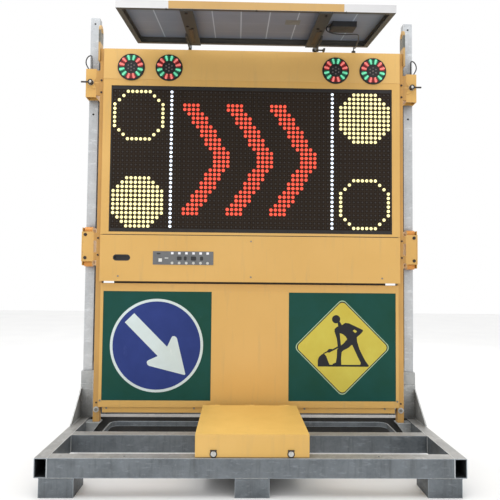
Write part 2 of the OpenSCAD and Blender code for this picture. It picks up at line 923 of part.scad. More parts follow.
module board_screws() {
  low_z = sign_bottom - 16;
  strip_z = sign_bottom - 8;
  strip_face = -sign_face + skirt_back;
  panel_zs = [box_bottom + 32, box_top - 34];
  rear_xs = [40, box_in_x - 10];
  color("silver")
    union() {
      for (s = sides) hex_bolt(s * (post_in_x + post_w / 2), -post_front, low_z, 11);
      for (x = [-919, -357, 357, 880]) rod_y(x, strip_face - 3, strip_face, strip_z, 12);
      for (s = sides) rod_y(s * (lap_x - 10), -sign_face - 3, -sign_face, sign_bottom + 42, 12);
      for (x = [-852, 0, 852]) rod_y(x, -cab_front - 3, -cab_front, panel_zs[0], 11);
      rod_y(0, -cab_front - 3, -cab_front, panel_zs[1], 11);
      for (s = sides) for (x = rear_xs) for (z = [cab_bottom + 40, window_z + 60, cab_top - 40])
        rod_y(s * x, -cab_back + sheet, -cab_back + sheet + 4, z, 12);
    }
}

// ---- slides ----

slide_half = mast_size / 2 + slide_fit;
slide_out = slide_half + slide_plate;
clamp_z = sleeve_z + 96;
link_t = 14;
link_y = -slide_front - 4;

// A square sleeve round the mast that reaches forward past it
module slide_shell(z0, z1) {
  difference() {
    box([-slide_out, -slide_front, z0], [slide_out, slide_out, z1]);
    box([-slide_half, -slide_half, z0 - 1], [slide_half, slide_half, z1 + 1]);
    box([-slide_half, -slide_front + slide_plate, z0 - 1],
      [slide_half, -slide_half - slide_plate, z1 + 1]);
  }
}

// Links reach from the post to the side of a sleeve or guide
module link(s, z0, z1) {
  box([s > 0 ? post_out_x : -mast_x + slide_out - eps, link_y, z0],
    [s > 0 ? mast_x - slide_out + eps : -post_out_x, link_y + link_t, z1]);
}

module upper_sleeves() {
  nut_t = 8;
  ear_r = mast_x - slide_out - post_out_x + 8;
  color("gold")
    for (s = sides)
      difference() {
        union() {
          translate([s * mast_x, 0, 0]) {
            slide_shell(sleeve_z, sleeve_z + sleeve_h);
            box([-slide_out, -slide_front, sleeve_z + sleeve_h - slide_plate],
              [slide_out, -slide_half, sleeve_z + sleeve_h]);
          }
          link(s, sleeve_z + 12, sleeve_z + sleeve_h - 12);
          translate([s * (post_out_x + ear_r), 0, clamp_z])
            plate_y(-slide_front - 4, -slide_front + eps) circle(r = ear_r);
          rod_y(s * mast_x, -slide_front - nut_t, -slide_front + eps, clamp_z, 38);
        }
        rod_y(s * mast_x, -slide_front - nut_t - 1, -slide_half + 1, clamp_z, clamp_d + 2 * run_fit);
      }
}

clamp_bar = 62;

module clamp_screw(s) {
  y0 = -slide_front - 26;
  hub_y1 = -slide_front - 9;
  x = s * mast_x;
  color("silver")
    union() {
      rod_y(x, y0, hub_y1, clamp_z, 34);
      rod_y(x, hub_y1 - eps, -slide_half - 1, clamp_z, clamp_d);
      rod_x(s > 0 ? x - 14 : x - clamp_bar, s > 0 ? x + clamp_bar : x + 14, y0 + 9, clamp_z, 11);
    }
}

module left_clamp_screw() { clamp_screw(-1); }
module right_clamp_screw() { clamp_screw(1); }

// Bent wire loops on the sleeves, a hand hold for lifting a sleeve off its mast
loop_d = 8;
loop_route = [[0, 0, 0], [0, 0, 5], [0, 0, 10], [12, 0, 30], [21, 0, 52], [20, 0, 76], [8, 0, 98], [-8, 0, 106],
  [-16, 0, 96], [-18, 0, 60], [-18, 0, 24], [-18, 0, 0]];

module sleeve_loops() {
  color("gray")
    for (s = sides)
      sweep([for (p = spline(loop_route, 3))
          [s * (mast_x + slide_out - 8 + p[0]), -slide_out - 26, sleeve_z + sleeve_h + p[2]]],
        loop_d, [0, 1, 0]);
}

roller_y = -mast_size / 2 - hair - roller_d / 2;
roller_zs = [guide_z + roller_span / 2, guide_z - roller_span / 2];

module lower_guides() {
  z0 = roller_zs[1] - 20;
  z1 = roller_zs[0] + 20;
  front_in = slide_out + 5;
  color("gold")
    for (s = sides)
      translate([s * mast_x, 0, 0]) scale([s, 1, 1])
        union() {
          difference() {
            union() {
              difference() {
                box([-slide_out, -slide_front, z0], [slide_out, slide_out, z1]);
                box([-slide_half, -slide_front - 1, z0 - 1], [slide_half, slide_half, z1 + 1]);
              }
              box([-front_in, -slide_front, guide_z - guide_h / 2],
                [slide_out - 7, -slide_front + slide_plate, guide_z + guide_h / 2]);
              box([slide_out - 11, -slide_front + 1, guide_z - guide_h / 2],
                [slide_out + 4, -slide_front + 1 + slide_plate, guide_z + guide_h / 2]);
            }
            for (z = roller_zs) rod_x(-slide_out - 1, slide_out + 1, roller_y, z, axle_d);
          }
          for (z = roller_zs) rod_x(-slide_out - 3, slide_out + 3, roller_y, z, axle_d);
          for (k = sides)
            box([post_out_x - mast_x, link_y + 4, guide_z + 65 * k - 26],
              [-slide_out + eps, link_y + 4 + link_t, guide_z + 65 * k + 26]);
          for (z = [guide_z + 78, guide_z - 74])
            hex_bolt(slide_out - 20, -slide_front, z, 9);
        }
}

module roller(s, k) {
  color("darkorange")
    translate([s * mast_x, roller_y, roller_zs[k]])
      rotate([0, 90, 0])
        difference() {
          cylinder(d = roller_d, h = roller_w, center = true);
          cylinder(d = axle_d + 2 * run_fit, h = roller_w + 2, center = true);
        }
}

module left_upper_roller() { roller(-1, 0); }
module left_lower_roller() { roller(-1, 1); }
module right_upper_roller() { roller(1, 0); }
module right_lower_roller() { roller(1, 1); }

lug_z = post_top + lug_rise - 40;
lug_y = -post_front + post_d / 2;

module lifting_lugs() {
  wide = 80;
  foot = 85;
  color("gold")
    for (s = sides)
      difference() {
        scale([s, 1, 1])
          union() {
            box([post_out_x, lug_y - wide / 2, post_top - foot], [post_out_x + lug_t, lug_y + wide / 2, lug_z]);
            rod_x(post_out_x, post_out_x + lug_t, lug_y, lug_z, wide);
          }
        rod_x(s * post_out_x - lug_t - 5, s * post_out_x + lug_t + 5, lug_y, lug_z, lug_hole_d);
      }
}

// ---- solar panel ----

pivot_y = -pivot_front;
pivot_z = cab_top + pivot_rise;
pivot_d = 12;
arm_r = 46;
lock_r = 32;
lock_d = 10;
bracket_x = arm_x + arm_t + 1;
gland_x = 670;
gland_y = -150;
gland_d = 26;
gland_h = 22;
tilt_down = 5;
tilt_up = 45;

module solar_brackets() {
  base_t = 5;
  up_t = 8;
  y0 = pivot_y - 15;
  y1 = pivot_y + 40;
  color("olive")
    for (s = sides)
      union() {
        // On the left the foot of the bracket runs inwards
        foot_in = s < 0 ? 140 : 34;
        scale([s, 1, 1])
          union() {
            difference() {
              union() {
                box([bracket_x + up_t - foot_in, y0, cab_top], [bracket_x + up_t + 6, y1, cab_top + base_t]);
                box([bracket_x, y0, cab_top + base_t - eps], [bracket_x + up_t, y1, pivot_z]);
                rod_x(bracket_x, bracket_x + up_t, pivot_y + 8, pivot_z, 46);
              }
              rod_x(bracket_x - 1, bracket_x + up_t + 1, pivot_y, pivot_z, pivot_d);
              rod_x(bracket_x - 1, bracket_x + up_t + 1, pivot_y, pivot_z - lock_r, lock_d + 2 * run_fit);
            }
            rod_x(arm_x - 12, bracket_x + up_t + 6, pivot_y, pivot_z, pivot_d);
            rod_x(bracket_x + up_t, bracket_x + up_t + 6, pivot_y, pivot_z, 22);
            rod_x(arm_x - 12, arm_x - 3, pivot_y, pivot_z, 22);
          }
      }
}

// The slot that the lock bolt runs in, as an arc round the pivot
module arc_slot(r, w, a0, a1) {
  n = 10;
  steps = [for (i = [0 : n]) a0 + (a1 - a0) * i / n];
  union() {
    polygon(concat(
      [for (a = steps) (r + w / 2) * [cos(a), sin(a)]],
      [for (i = [n : -1 : 0]) (r - w / 2) * [cos(steps[i]), sin(steps[i])]]));
    for (a = [a0, a1]) translate(r * [cos(a), sin(a)]) circle(d = w);
  }
}

// Places children, drawn level about the pivot, at the panel's rest angle
module at_panel() {
  translate([0, pivot_y, pivot_z]) rotate([solar_rest, 0, 0]) children();
}

panel_y1 = -solar_gap;
panel_y0 = -solar_gap - solar_d;
panel_z0 = -solar_drop;
rail_t = 8;
arm_reach = 340;
lam_t = 5;
frame_lip = 28;
frame_wall = 2;

module arm_outline() {
  slot_mid = -90 - solar_rest;
  difference() {
    union() {
      circle(r = arm_r);
      polygon([[-solar_gap + 4, panel_z0 - 1], [-arm_r * cos(40), arm_r * sin(40)], [0, 0],
        [-26, -38], [-90, -60], [-arm_reach, -56], [-arm_reach, panel_z0 - 1]]);
    }
    circle(d = pivot_d + 2 * run_fit);
    arc_slot(lock_r, lock_d + 1, slot_mid - tilt_down - 2, slot_mid + tilt_up + 2);
  }
}

module solar_arms() {
  color("dimgray")
    at_panel()
      for (s = sides)
        scale([s, 1, 1])
          union() {
            plate_x(arm_x, arm_x + arm_t) arm_outline();
            box([arm_x - solar_rail_w, panel_y0 + 4, panel_z0 - rail_t], [arm_x + eps, panel_y1 - 4, panel_z0]);
          }
}

module solar_frame() {
  half = solar_w / 2;
  z1 = panel_z0 + solar_t;
  color("lightgray")
    at_panel()
      difference() {
        wide_box(half, panel_y0, panel_y1, panel_z0, z1);
        wide_box(half - frame_lip, panel_y0 + frame_lip, panel_y1 - frame_lip, panel_z0 - 1, z1 + 1);
        wide_box(half - frame_wall, panel_y0 + frame_wall, panel_y1 - frame_wall,
          panel_z0 + frame_wall, z1 - lam_t - 2);
        wide_box(half - frame_wall, panel_y0 + frame_wall, panel_y1 - frame_wall, z1 - lam_t, z1 + 1);
      }
}

module solar_laminate() {
  half = solar_w / 2 - frame_wall - near_gap;
  z1 = panel_z0 + solar_t;
  color("midnightblue")
    at_panel()
      wide_box(half, panel_y0 + frame_wall + near_gap, panel_y1 - frame_wall - near_gap, z1 - lam_t, z1 - near_gap);
}

jb_x = 515;
jb_w = 140;
jb_d = 120;
jb_y = -450;
jb_t = 30;

module junction_box() {
  z1 = panel_z0 + solar_t - lam_t;
  color("black")
    at_panel()
      union() {
        box([jb_x - jb_w / 2, jb_y - jb_d / 2, z1 - jb_t], [jb_x + jb_w / 2, jb_y + jb_d / 2, z1]);
        rod_x(jb_x - jb_w / 2 - 14, jb_x - jb_w / 2 + eps, jb_y, z1 - jb_t / 2, 14);
      }
}

strip_w = 926;

module solar_front_strip() {
  color("orange")
    at_panel()
      wide_box(strip_w / 2, panel_y0 - 2, panel_y0, panel_z0 + 1, panel_z0 + solar_t - 1);
}

tee_half = 23;

module tilt_lock() {
  x0 = bracket_x + 9;
  z = pivot_z - lock_r;
  color("black")
    union() {
      rod_x(arm_x - 10, x0 + 40, pivot_y, z, lock_d);
      rod_x(arm_x - 10, arm_x - 2, pivot_y, z, 20);
      rod_x(x0, x0 + 12, pivot_y, z, 22);
      rod_x(x0 + 39, x0 + 54, pivot_y, z, 16);
      box([x0 + 42, pivot_y - tee_half, z - 6], [x0 + 54, pivot_y + tee_half, z + 6]);
    }
}

// The solar lead: out of the junction box, a slack loop, along under the panel,
// and down into its gland on the cabinet
lead_d = 7;
lead_route = [[431, -594, 2593.6], [425, -594, 2593.4], [418.5, -598, 2587], [416, -602, 2576],
  [420, -608, 2563], [442, -613, 2549], [478, -616, 2541], [516, -616, 2539],
  [552, -612, 2542], [584, -600, 2549], [606, -576, 2557], [620, -540, 2563],
  [630, -490, 2570], [638, -430, 2578], [645, -370, 2587], [651, -310, 2597],
  [656, -264, 2606], [661, -228, 2619], [665, -200, 2637], [668, -178, 2650],
  [670, -158, 2656], [670, -151, 2653], [670, -150, 2646], [670, -150, 2639], [670, -150, 2632]];

module solar_lead() {
  color("black") sweep(spline(lead_route, 3), lead_d, [0, 0, 1]);
}

side_rails();
front_rail();
cross_rails();
base_feet();
mast_sockets();
masts();
post_shoes();
cable_guard_bar();
battery_tray();
batteries();
cover_back_plate();
battery_cover();
left_cover_latch();
right_cover_latch();
board_posts();
display_cabinet();
header_panel();
display_mask();
led_modules();
lamp_housings();
lamp_petals_red();
lamp_petals_green();
power_supplies();
charge_controller();
control_box();
control_panel();
keypad_plate();
indicator_lamps();
pull_recess();
sign_frame();
left_sign_plate();
right_sign_plate();
centre_panel();
rear_panels();
board_screws();
upper_sleeves();
sleeve_loops();
lower_guides();
lifting_lugs();
solar_brackets();
button_1();
button_2();
button_3();
button_4();
button_5();
button_6();
power_button();
left_clamp_screw();
right_clamp_screw();
solar_frame();
solar_laminate();
solar_arms();
junction_box();
solar_front_strip();
tilt_lock();
solar_lead();
left_upper_roller();
left_lower_roller();
right_upper_roller();
right_lower_roller();
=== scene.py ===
# %% [markdown]
# # A solar road works board on a steel skid
#
# The real object is a message board that road crews set down beside the carriageway. A
# galvanised skid carries two square masts. A yellow board slides on the masts: a display
# cabinet on top, a control box under it and a pair of sign plates at the bottom. A solar
# panel leans out over the board like an awning, and the batteries lie under a yellow lid.
#
# The shapes that carry load were drawn in CAD and are loaded here as a fixed frame. This
# lesson gives that frame its looks: the finish of each metal, the printed signs, the
# light-emitting dots, the bolts and welds, and the studio around it.

# %% Load the frame
import math

import bmesh
import bpy
from mathutils import Matrix, Vector


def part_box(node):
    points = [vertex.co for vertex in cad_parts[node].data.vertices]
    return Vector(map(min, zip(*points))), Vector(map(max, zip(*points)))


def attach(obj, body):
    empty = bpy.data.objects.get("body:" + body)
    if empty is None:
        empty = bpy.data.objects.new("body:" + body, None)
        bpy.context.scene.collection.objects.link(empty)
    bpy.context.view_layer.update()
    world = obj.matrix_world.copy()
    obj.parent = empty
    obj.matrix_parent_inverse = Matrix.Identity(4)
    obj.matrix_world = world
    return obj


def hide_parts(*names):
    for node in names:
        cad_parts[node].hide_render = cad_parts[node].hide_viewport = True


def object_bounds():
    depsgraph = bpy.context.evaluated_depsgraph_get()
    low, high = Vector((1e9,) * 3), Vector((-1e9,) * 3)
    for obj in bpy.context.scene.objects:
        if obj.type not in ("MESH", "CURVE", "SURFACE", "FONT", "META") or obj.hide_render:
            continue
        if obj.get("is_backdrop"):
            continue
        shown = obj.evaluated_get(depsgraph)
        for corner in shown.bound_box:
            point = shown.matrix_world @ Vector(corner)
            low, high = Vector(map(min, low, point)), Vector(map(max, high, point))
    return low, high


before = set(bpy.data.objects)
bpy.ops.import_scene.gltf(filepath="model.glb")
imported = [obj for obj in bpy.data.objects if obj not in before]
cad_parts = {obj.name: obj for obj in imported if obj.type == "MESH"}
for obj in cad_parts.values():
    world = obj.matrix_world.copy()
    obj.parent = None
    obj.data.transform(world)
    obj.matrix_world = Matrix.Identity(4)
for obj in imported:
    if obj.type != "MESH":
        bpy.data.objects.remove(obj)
cad_low, cad_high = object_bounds()
print("frame pieces", len(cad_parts), "height", round(cad_high[2] - cad_low[2], 3))

# %% [markdown]
# ## The camera
# The board is seen from straight in front, from the height of a person's chest, a little
# to the left of its middle. A camera could be aimed with a Track To constraint. Here its
# three axes are worked out from a heading, a tilt and a roll, because a level camera that
# is only slightly turned keeps the masts upright, and a constraint would hide that.

# %% Place the camera
CAMERA_SPOT = Vector((-0.0881, -3.7968, 1.1324))
CAMERA_HEADING = math.radians(1.296)
CAMERA_TILT = math.radians(2.682)
CAMERA_ROLL = math.radians(0.54)

ahead = Vector((math.sin(CAMERA_HEADING) * math.cos(CAMERA_TILT),
                math.cos(CAMERA_HEADING) * math.cos(CAMERA_TILT),
                math.sin(CAMERA_TILT)))
level = Vector((math.cos(CAMERA_HEADING), -math.sin(CAMERA_HEADING), 0))
above = level.cross(ahead)
right = level * math.cos(CAMERA_ROLL) + above * math.sin(CAMERA_ROLL)
top = above * math.cos(CAMERA_ROLL) - level * math.sin(CAMERA_ROLL)

camera = bpy.data.objects.new("camera", bpy.data.cameras.new("camera"))
camera.data.sensor_width = 36
camera.data.lens = 40.38
camera.data.clip_end = 100
camera.matrix_world = Matrix(((right.x, top.x, -ahead.x, CAMERA_SPOT.x),
                              (right.y, top.y, -ahead.y, CAMERA_SPOT.y),
                              (right.z, top.z, -ahead.z, CAMERA_SPOT.z),
                              (0, 0, 0, 1)))
bpy.context.scene.collection.objects.link(camera)
bpy.context.scene.camera = camera
print("camera stands", round((CAMERA_SPOT - Vector((0, 0, 1.2))).length, 2), "m from the masts")

# %% [markdown]
# ## The solar lead
# One black cable leaves the junction box under the panel, sags in a slack loop, runs back
# along the underside and drops into its gland on the cabinet. It could be a simulated rope.
# A curve with the same points as the CAD route is enough, because a short stiff cable
# between two fixed ends hardly moves, and the curve keeps its bevel smooth.

# %% Lay the lead
LEAD_THICK = 0.007
LEAD_ROUTE = [(0.431, -0.594, 2.5936), (0.425, -0.594, 2.5934), (0.4185, -0.598, 2.587),
              (0.416, -0.602, 2.576), (0.420, -0.608, 2.563), (0.442, -0.613, 2.549),
              (0.478, -0.616, 2.541), (0.516, -0.616, 2.539), (0.552, -0.612, 2.542),
              (0.584, -0.600, 2.549), (0.606, -0.576, 2.557), (0.620, -0.540, 2.563),
              (0.630, -0.490, 2.570), (0.638, -0.430, 2.578), (0.645, -0.370, 2.587),
              (0.651, -0.310, 2.597), (0.656, -0.264, 2.606), (0.661, -0.228, 2.619),
              (0.665, -0.200, 2.637), (0.668, -0.178, 2.650), (0.670, -0.158, 2.656),
              (0.670, -0.151, 2.653), (0.670, -0.150, 2.646), (0.670, -0.150, 2.639),
              (0.670, -0.150, 2.632)]


def smooth_route(points, steps):
    """Points on a smooth line through the given ones (a Catmull-Rom spline)."""
    dense = []
    for i in range(len(points) - 1):
        p0 = Vector(points[max(i - 1, 0)])
        p1, p2 = Vector(points[i]), Vector(points[i + 1])
        p3 = Vector(points[min(i + 2, len(points) - 1)])
        for k in range(steps):
            t = k / steps
            dense.append(0.5 * (2 * p1 + (p2 - p0) * t + (2 * p0 - 5 * p1 + 4 * p2 - p3) * t * t
                                + (3 * p1 - p0 - 3 * p2 + p3) * t ** 3))
    dense.append(Vector(points[-1]))
    return dense


def wire(name, points, thick):
    """A round wire along the points. Its half thickness is the radius of each point, because
    Blender pads a curve's box by that radius, and a radius of 1 would make it a metre too big."""
    data = bpy.data.curves.new(name, "CURVE")
    data.dimensions = "3D"
    data.bevel_depth = 1.0
    data.bevel_resolution = 4
    data.use_fill_caps = True
    spline = data.splines.new("POLY")
    spline.points.add(len(points) - 1)
    for spot, p in zip(spline.points, points):
        spot.co = (p[0], p[1], p[2], 1)
        spot.radius = thick / 2
    piece = bpy.data.objects.new(name, data)
    bpy.context.scene.collection.objects.link(piece)
    return piece


lead_points = smooth_route(LEAD_ROUTE, 3)
solar_cable = wire("solar_cable", lead_points, LEAD_THICK)
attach(solar_cable, "solar_panel")
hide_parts("solar_lead")

# %% [markdown]
# ## Finishes
# Every finish here is built from nodes. A dozen small helpers keep the cells short: they
# start a material, add a node with its settings, mix colours, do sums, and find edges, for
# chips and a painted highlight, and tight gaps and corners, for painted shade. Every noise is
# read from the piece's own coordinates, so the pattern sits still on the metal in every view.

# %% Helpers for finishes
def start_finish(name):
    """A new material with nothing but its output and its surface shader."""
    finish = bpy.data.materials.new(name)
    finish.use_nodes = True
    nodes = finish.node_tree.nodes
    nodes.clear()
    out = nodes.new("ShaderNodeOutputMaterial")
    surface = nodes.new("ShaderNodeBsdfPrincipled")
    finish.node_tree.links.new(surface.outputs["BSDF"], out.inputs["Surface"])
    return finish, surface


def add(finish, kind, settings=None, **inputs):
    """A node of that kind. Inputs are values or the sockets that feed them."""
    node = finish.node_tree.nodes.new(kind)
    for key, value in (settings or {}).items():
        setattr(node, key, value)
    for key, value in inputs.items():
        socket = node.inputs[int(key[1:])] if key[0] == "i" and key[1:].isdigit() else node.inputs[key]
        if isinstance(value, bpy.types.NodeSocket):
            finish.node_tree.links.new(value, socket)
        else:
            socket.default_value = value
    return node


def join(finish, source, target):
    """Feeds one socket from another. A link that was there before gives way."""
    finish.node_tree.links.new(source, target)


def place(finish):
    """Coordinates that stay on the piece."""
    return add(finish, "ShaderNodeTexCoord").outputs["Object"]


def noise(finish, size, detail=3.0, rough=0.5, stretch=None):
    """A cloudy value from 0 to 1. Size is how many clouds fit in a metre."""
    where = place(finish)
    if stretch:
        where = add(finish, "ShaderNodeMapping", Vector=where, Scale=stretch).outputs["Vector"]
    made = add(finish, "ShaderNodeTexNoise", Vector=where, Scale=size, Detail=detail, Roughness=rough)
    return made.outputs["Fac"]


def ramp(finish, value, stops):
    """Colours laid along a value: a list of (place, colour)."""
    node = add(finish, "ShaderNodeValToRGB", Fac=value)
    while len(node.color_ramp.elements) < len(stops):
        node.color_ramp.elements.new(0.5)
    for element, (spot, colour) in zip(node.color_ramp.elements, stops):
        element.position = spot
        element.color = (*colour, 1)
    return node.outputs["Color"]


def mix(finish, share, a, b):
    """Two colours mixed by a share. A colour is a socket or three numbers."""
    node = add(finish, "ShaderNodeMix", {"data_type": "RGBA"}, i0=share)
    for socket, value in ((node.inputs[6], a), (node.inputs[7], b)):
        if isinstance(value, bpy.types.NodeSocket):
            join(finish, value, socket)
        else:
            socket.default_value = (*value, 1)
    return node.outputs[2]


def span(finish, value, low, high, to_low=0.0, to_high=1.0):
    """Maps a value from one span to another and clamps it."""
    node = add(finish, "ShaderNodeMapRange", Value=value)
    node.inputs["From Min"].default_value = low
    node.inputs["From Max"].default_value = high
    node.inputs["To Min"].default_value = to_low
    node.inputs["To Max"].default_value = to_high
    return node.outputs["Result"]


def bump(finish, surface, height, strength, depth):
    """Raises the surface by a height value, with its full depth in metres."""
    node = add(finish, "ShaderNodeBump", Height=height, Strength=strength, Distance=depth)
    join(finish, node.outputs["Normal"], surface.inputs["Normal"])
    return node


def sums(finish, kind, a, b=0.0, c=0.0):
    """One sum on one, two or three values."""
    node = add(finish, "ShaderNodeMath", {"operation": kind})
    for socket, value in zip(node.inputs, (a, b, c)):
        if isinstance(value, bpy.types.NodeSocket):
            join(finish, value, socket)
        else:
            socket.default_value = value
    return node.outputs[0]


def edges(finish, wide=0.004):
    """1 on edges and 0 on flats, from the angle between a rounded and a flat normal. It places chips and
    painted highlights.
    """
    rounded = add(finish, "ShaderNodeBevel", {"samples": 4}, Radius=wide).outputs["Normal"]
    flat = add(finish, "ShaderNodeNewGeometry").outputs["Normal"]
    dot = add(finish, "ShaderNodeVectorMath", {"operation": "DOT_PRODUCT"}, i0=rounded, i1=flat)
    return span(finish, dot.outputs["Value"], 0.995, 0.90)


def shade_in_gaps(finish, reach=0.15, low=0.18, high=0.62):
    """1 in tight gaps and deep corners, where shade falls, and 0 in the open. It places painted shade."""
    open_share = add(finish, "ShaderNodeAmbientOcclusion", {"samples": 6}, Distance=reach).outputs["AO"]
    return span(finish, open_share, low, high, 1.0, 0.0)


def off_centre(finish, value):
    """How far a value is from the middle between two whole numbers, 0 to 0.5."""
    share = sums(finish, "FRACT", value)
    return sums(finish, "ABSOLUTE", sums(finish, "SUBTRACT", share, 0.5))


def toned(colour, share, lift=0.0):
    """The colour made lighter or darker by a share, with no channel above 1."""
    return tuple(min(1, c * share + lift) for c in colour)


print("helpers ready")

# %% [markdown]
# ## The studio
# A pale floor and a bright, even sky of light stand in for an overcast day, which is how such
# boards are usually seen. An HDR picture would light it too, but plain area lamps are easier
# to reason about: a wide one above, a weak one in front and a cool one behind.

# %% Floor and light
def panel_light(name, spot, aim, wide, watts, tint):
    lamp = bpy.data.lights.new(name, "AREA")
    lamp.shape = "RECTANGLE"
    lamp.size, lamp.size_y = wide
    lamp.energy = watts
    lamp.color = tint
    holder = bpy.data.objects.new(name, lamp)
    bpy.context.scene.collection.objects.link(holder)
    holder.location = spot
    holder.rotation_euler = (Vector(aim) - Vector(spot)).to_track_quat("-Z", "Y").to_euler()


FLOOR_HALF = 14
bpy.ops.mesh.primitive_plane_add(size=2 * FLOOR_HALF, location=(0, 0, 0))
floor = bpy.context.object
floor.name = "floor"
floor_finish, floor_surface = start_finish("pale_floor")
floor_surface.inputs["Roughness"].default_value = 0.9
join(floor_finish, ramp(floor_finish, noise(floor_finish, 1.5, 4),
                        [(0.3, (0.88, 0.88, 0.88)), (0.7, (0.91, 0.91, 0.905))]),
     floor_surface.inputs["Base Color"])
floor.data.materials.append(floor_finish)
floor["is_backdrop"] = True

sky = bpy.data.worlds.new("pale_sky")
sky.use_nodes = True
sky.node_tree.nodes["Background"].inputs["Color"].default_value = (1.0, 1.0, 1.0, 1)
sky.node_tree.nodes["Background"].inputs["Strength"].default_value = 1.0
bpy.context.scene.world = sky
bpy.context.scene.view_settings.view_transform = "Standard"

panel_light("sky_panel", (-0.8, -1.4, 6.8), (0, -0.2, 1.0), (6, 5), 190, (1.0, 0.99, 0.97))
panel_light("front_panel", (-0.8, -6.0, 3.0), (0, 0, 1.6), (4, 3), 22, (1.0, 0.98, 0.95))
panel_light("back_panel", (3.0, 4.5, 4.0), (0, 0, 1.3), (4, 3), 40, (0.95, 0.98, 1.0))
print("three panel lights and a pale sky")

# %% [markdown]
# ## Galvanised steel
# Hot-dip zinc freezes in crystals, the spangle, a centimetre or so across, and weathers to a
# dull, blotchy grey. A Voronoi texture gives each crystal its own tone, and two noises lay
# the weathering and the run marks over it. Small pale scratches show where chains rubbed.

# %% A recipe for zinc
# The colour of the painted shade in the tight gaps and deep corners of the zinc.
GAP_SHADE_COLOUR = (0.010, 0.009, 0.008)


def galvanised(name, pale, deep, streaks, shine, gap_shade=0.8, bright=1.9, reach=0.2):
    """Zinc from pale to deep grey: bright is how light the painted highlight on its edges is, reach how far
    the painted shade in its gaps goes.
    """
    finish, surface = start_finish(name)
    crystals = add(finish, "ShaderNodeTexVoronoi", Vector=place(finish), Scale=85, Randomness=1)
    tone = add(finish, "ShaderNodeSeparateColor", Color=crystals.outputs["Color"]).outputs[0]
    clouds = noise(finish, 7, 5, 0.6)
    runs = noise(finish, 5, 4, 0.6, stretch=(9, 9, 0.8))
    zinc = mix(finish, span(finish, clouds, 0.3, 0.7), deep, pale)
    zinc = mix(finish, sums(finish, "MULTIPLY", tone, 0.22), zinc, toned(pale, 1.35))
    stained = mix(finish, span(finish, runs, 0.52, 0.75, 0, streaks), zinc,
                  tuple(c * f for c, f in zip(deep, (0.62, 0.58, 0.52))))
    rubs = span(finish, noise(finish, 16, 5, 0.7, stretch=(1, 1, 3)), 0.56, 0.64, 0, 0.4)
    stained = mix(finish, rubs, stained, toned(pale, 1.45))
    # Every edge is lightened towards a pale zinc: a painted highlight.
    edge_highlighted = mix(finish, sums(finish, "MULTIPLY", edges(finish, 0.006), 0.9), stained, toned(pale, bright))
    # Tight gaps and deep corners are darkened: painted shade.
    shaded = mix(finish, sums(finish, "MULTIPLY", shade_in_gaps(finish, reach), gap_shade), edge_highlighted, GAP_SHADE_COLOUR)
    join(finish, shaded, surface.inputs["Base Color"])
    surface.inputs["Metallic"].default_value = shine
    join(finish, span(finish, tone, 0, 1, 0.38, 0.58), surface.inputs["Roughness"])
    grain = sums(finish, "MULTIPLY_ADD", tone, 0.4, noise(finish, 220, 2))
    bump(finish, surface, grain, 0.25, 0.0006)
    return finish


def cover_band(finish, rise, fall, cloud_size, cover, colour):
    """Lays a patchy colour over a band of heights: rise and fall are the spans of its two ends."""
    surface = next(node for node in finish.node_tree.nodes if node.type == "BSDF_PRINCIPLED")
    height = add(finish, "ShaderNodeSeparateXYZ", Vector=place(finish)).outputs[2]
    band = sums(finish, "MULTIPLY", span(finish, height, *rise), span(finish, height, *fall))
    patchy = sums(finish, "MULTIPLY", band, span(finish, noise(finish, cloud_size, 4), *cover))
    below = surface.inputs["Base Color"].links[0].from_socket
    join(finish, mix(finish, patchy, below, colour), surface.inputs["Base Color"])
    return surface


print("zinc recipe ready")

# %% [markdown]
# ### Zinc in seven states
# The skid is old and dark, its upward faces take a paler zinc, painted light from above, and
# the masts are newer. On their inner faces the masts take a patchy, nearly black band of
# painted shadow, from about half a metre up to 2.6 m and weaker above. That shadow is no metal
# to the eye, so its finish loses its metallic share and nearly all of its shine. The front
# face of the middle cross rail takes a near-black zinc, painted shadow under the sign.

# %% Mix the zinc finishes
ZINC_BASE = galvanised("galvanised_base", (0.185, 0.208, 0.228), (0.100, 0.114, 0.127),
                       streaks=0.5, shine=0.45, gap_shade=0.9, bright=2.4)
MAST_ZINC = {"pale": (0.56, 0.585, 0.61), "deep": (0.42, 0.445, 0.47), "streaks": 0.2,
             "shine": 0.35, "gap_shade": 0.92, "bright": 1.2, "reach": 0.16}
ZINC_MAST = galvanised("galvanised_mast", **MAST_ZINC)
ZINC_SOCKET = galvanised("galvanised_socket", (0.46, 0.475, 0.475), (0.30, 0.315, 0.32),
                         streaks=0.45, shine=0.45, bright=1.8)
ZINC_TRAY = galvanised("galvanised_tray", (0.22, 0.22, 0.22), (0.12, 0.12, 0.12), streaks=0.4, shine=0.4)
# A patchy, nearly black band over the mast zinc, with no metal and little shine: painted shadow on the
# masts' inner faces beside the board.
MAST_SHADOWED = galvanised("mast_painted_shadow", **MAST_ZINC)
mast_shadow_surface = cover_band(MAST_SHADOWED, (0.46, 0.56), (2.58, 2.66, 1.0, 0.25), 30, (0.25, 0.5, 0.86, 1.0),
                     (0.022, 0.018, 0.012))
mast_shadow_surface.inputs["Metallic"].default_value = 0.0
mast_shadow_surface.inputs["Specular IOR Level"].default_value = 0.08
# A paler zinc for upward faces: painted light from above.
ZINC_LIT_TOP = galvanised("galvanised_lit_top", (0.40, 0.395, 0.38), (0.25, 0.25, 0.245),
                      streaks=0.5, shine=0.3, gap_shade=0.9, bright=2.2)
# A near-black zinc for the front face of the middle cross rail: painted shadow under the sign.
ZINC_SHADOWED = galvanised("galvanised_shadowed", (0.035, 0.035, 0.034), (0.014, 0.014, 0.014),
                          streaks=0.6, shine=0.1, gap_shade=0.9, bright=2.0)
print("seven zinc finishes")

# %% [markdown]
# ## Yellow paint
# The board and the battery lid are powder coated in traffic yellow. Powder coat has a fine
# orange-peel skin and small chips along its edges. A single colour would look like a toy, so
# slow clouds, rain marks and chips are mixed in, all of them faint. Its edges are lightened a
# little with a painted highlight, and its tight corners are darkened with painted shade.

# %% A recipe for paint
ROAD_DUST = (0.30, 0.24, 0.15)
CHIP_GREY = (0.33, 0.32, 0.30)


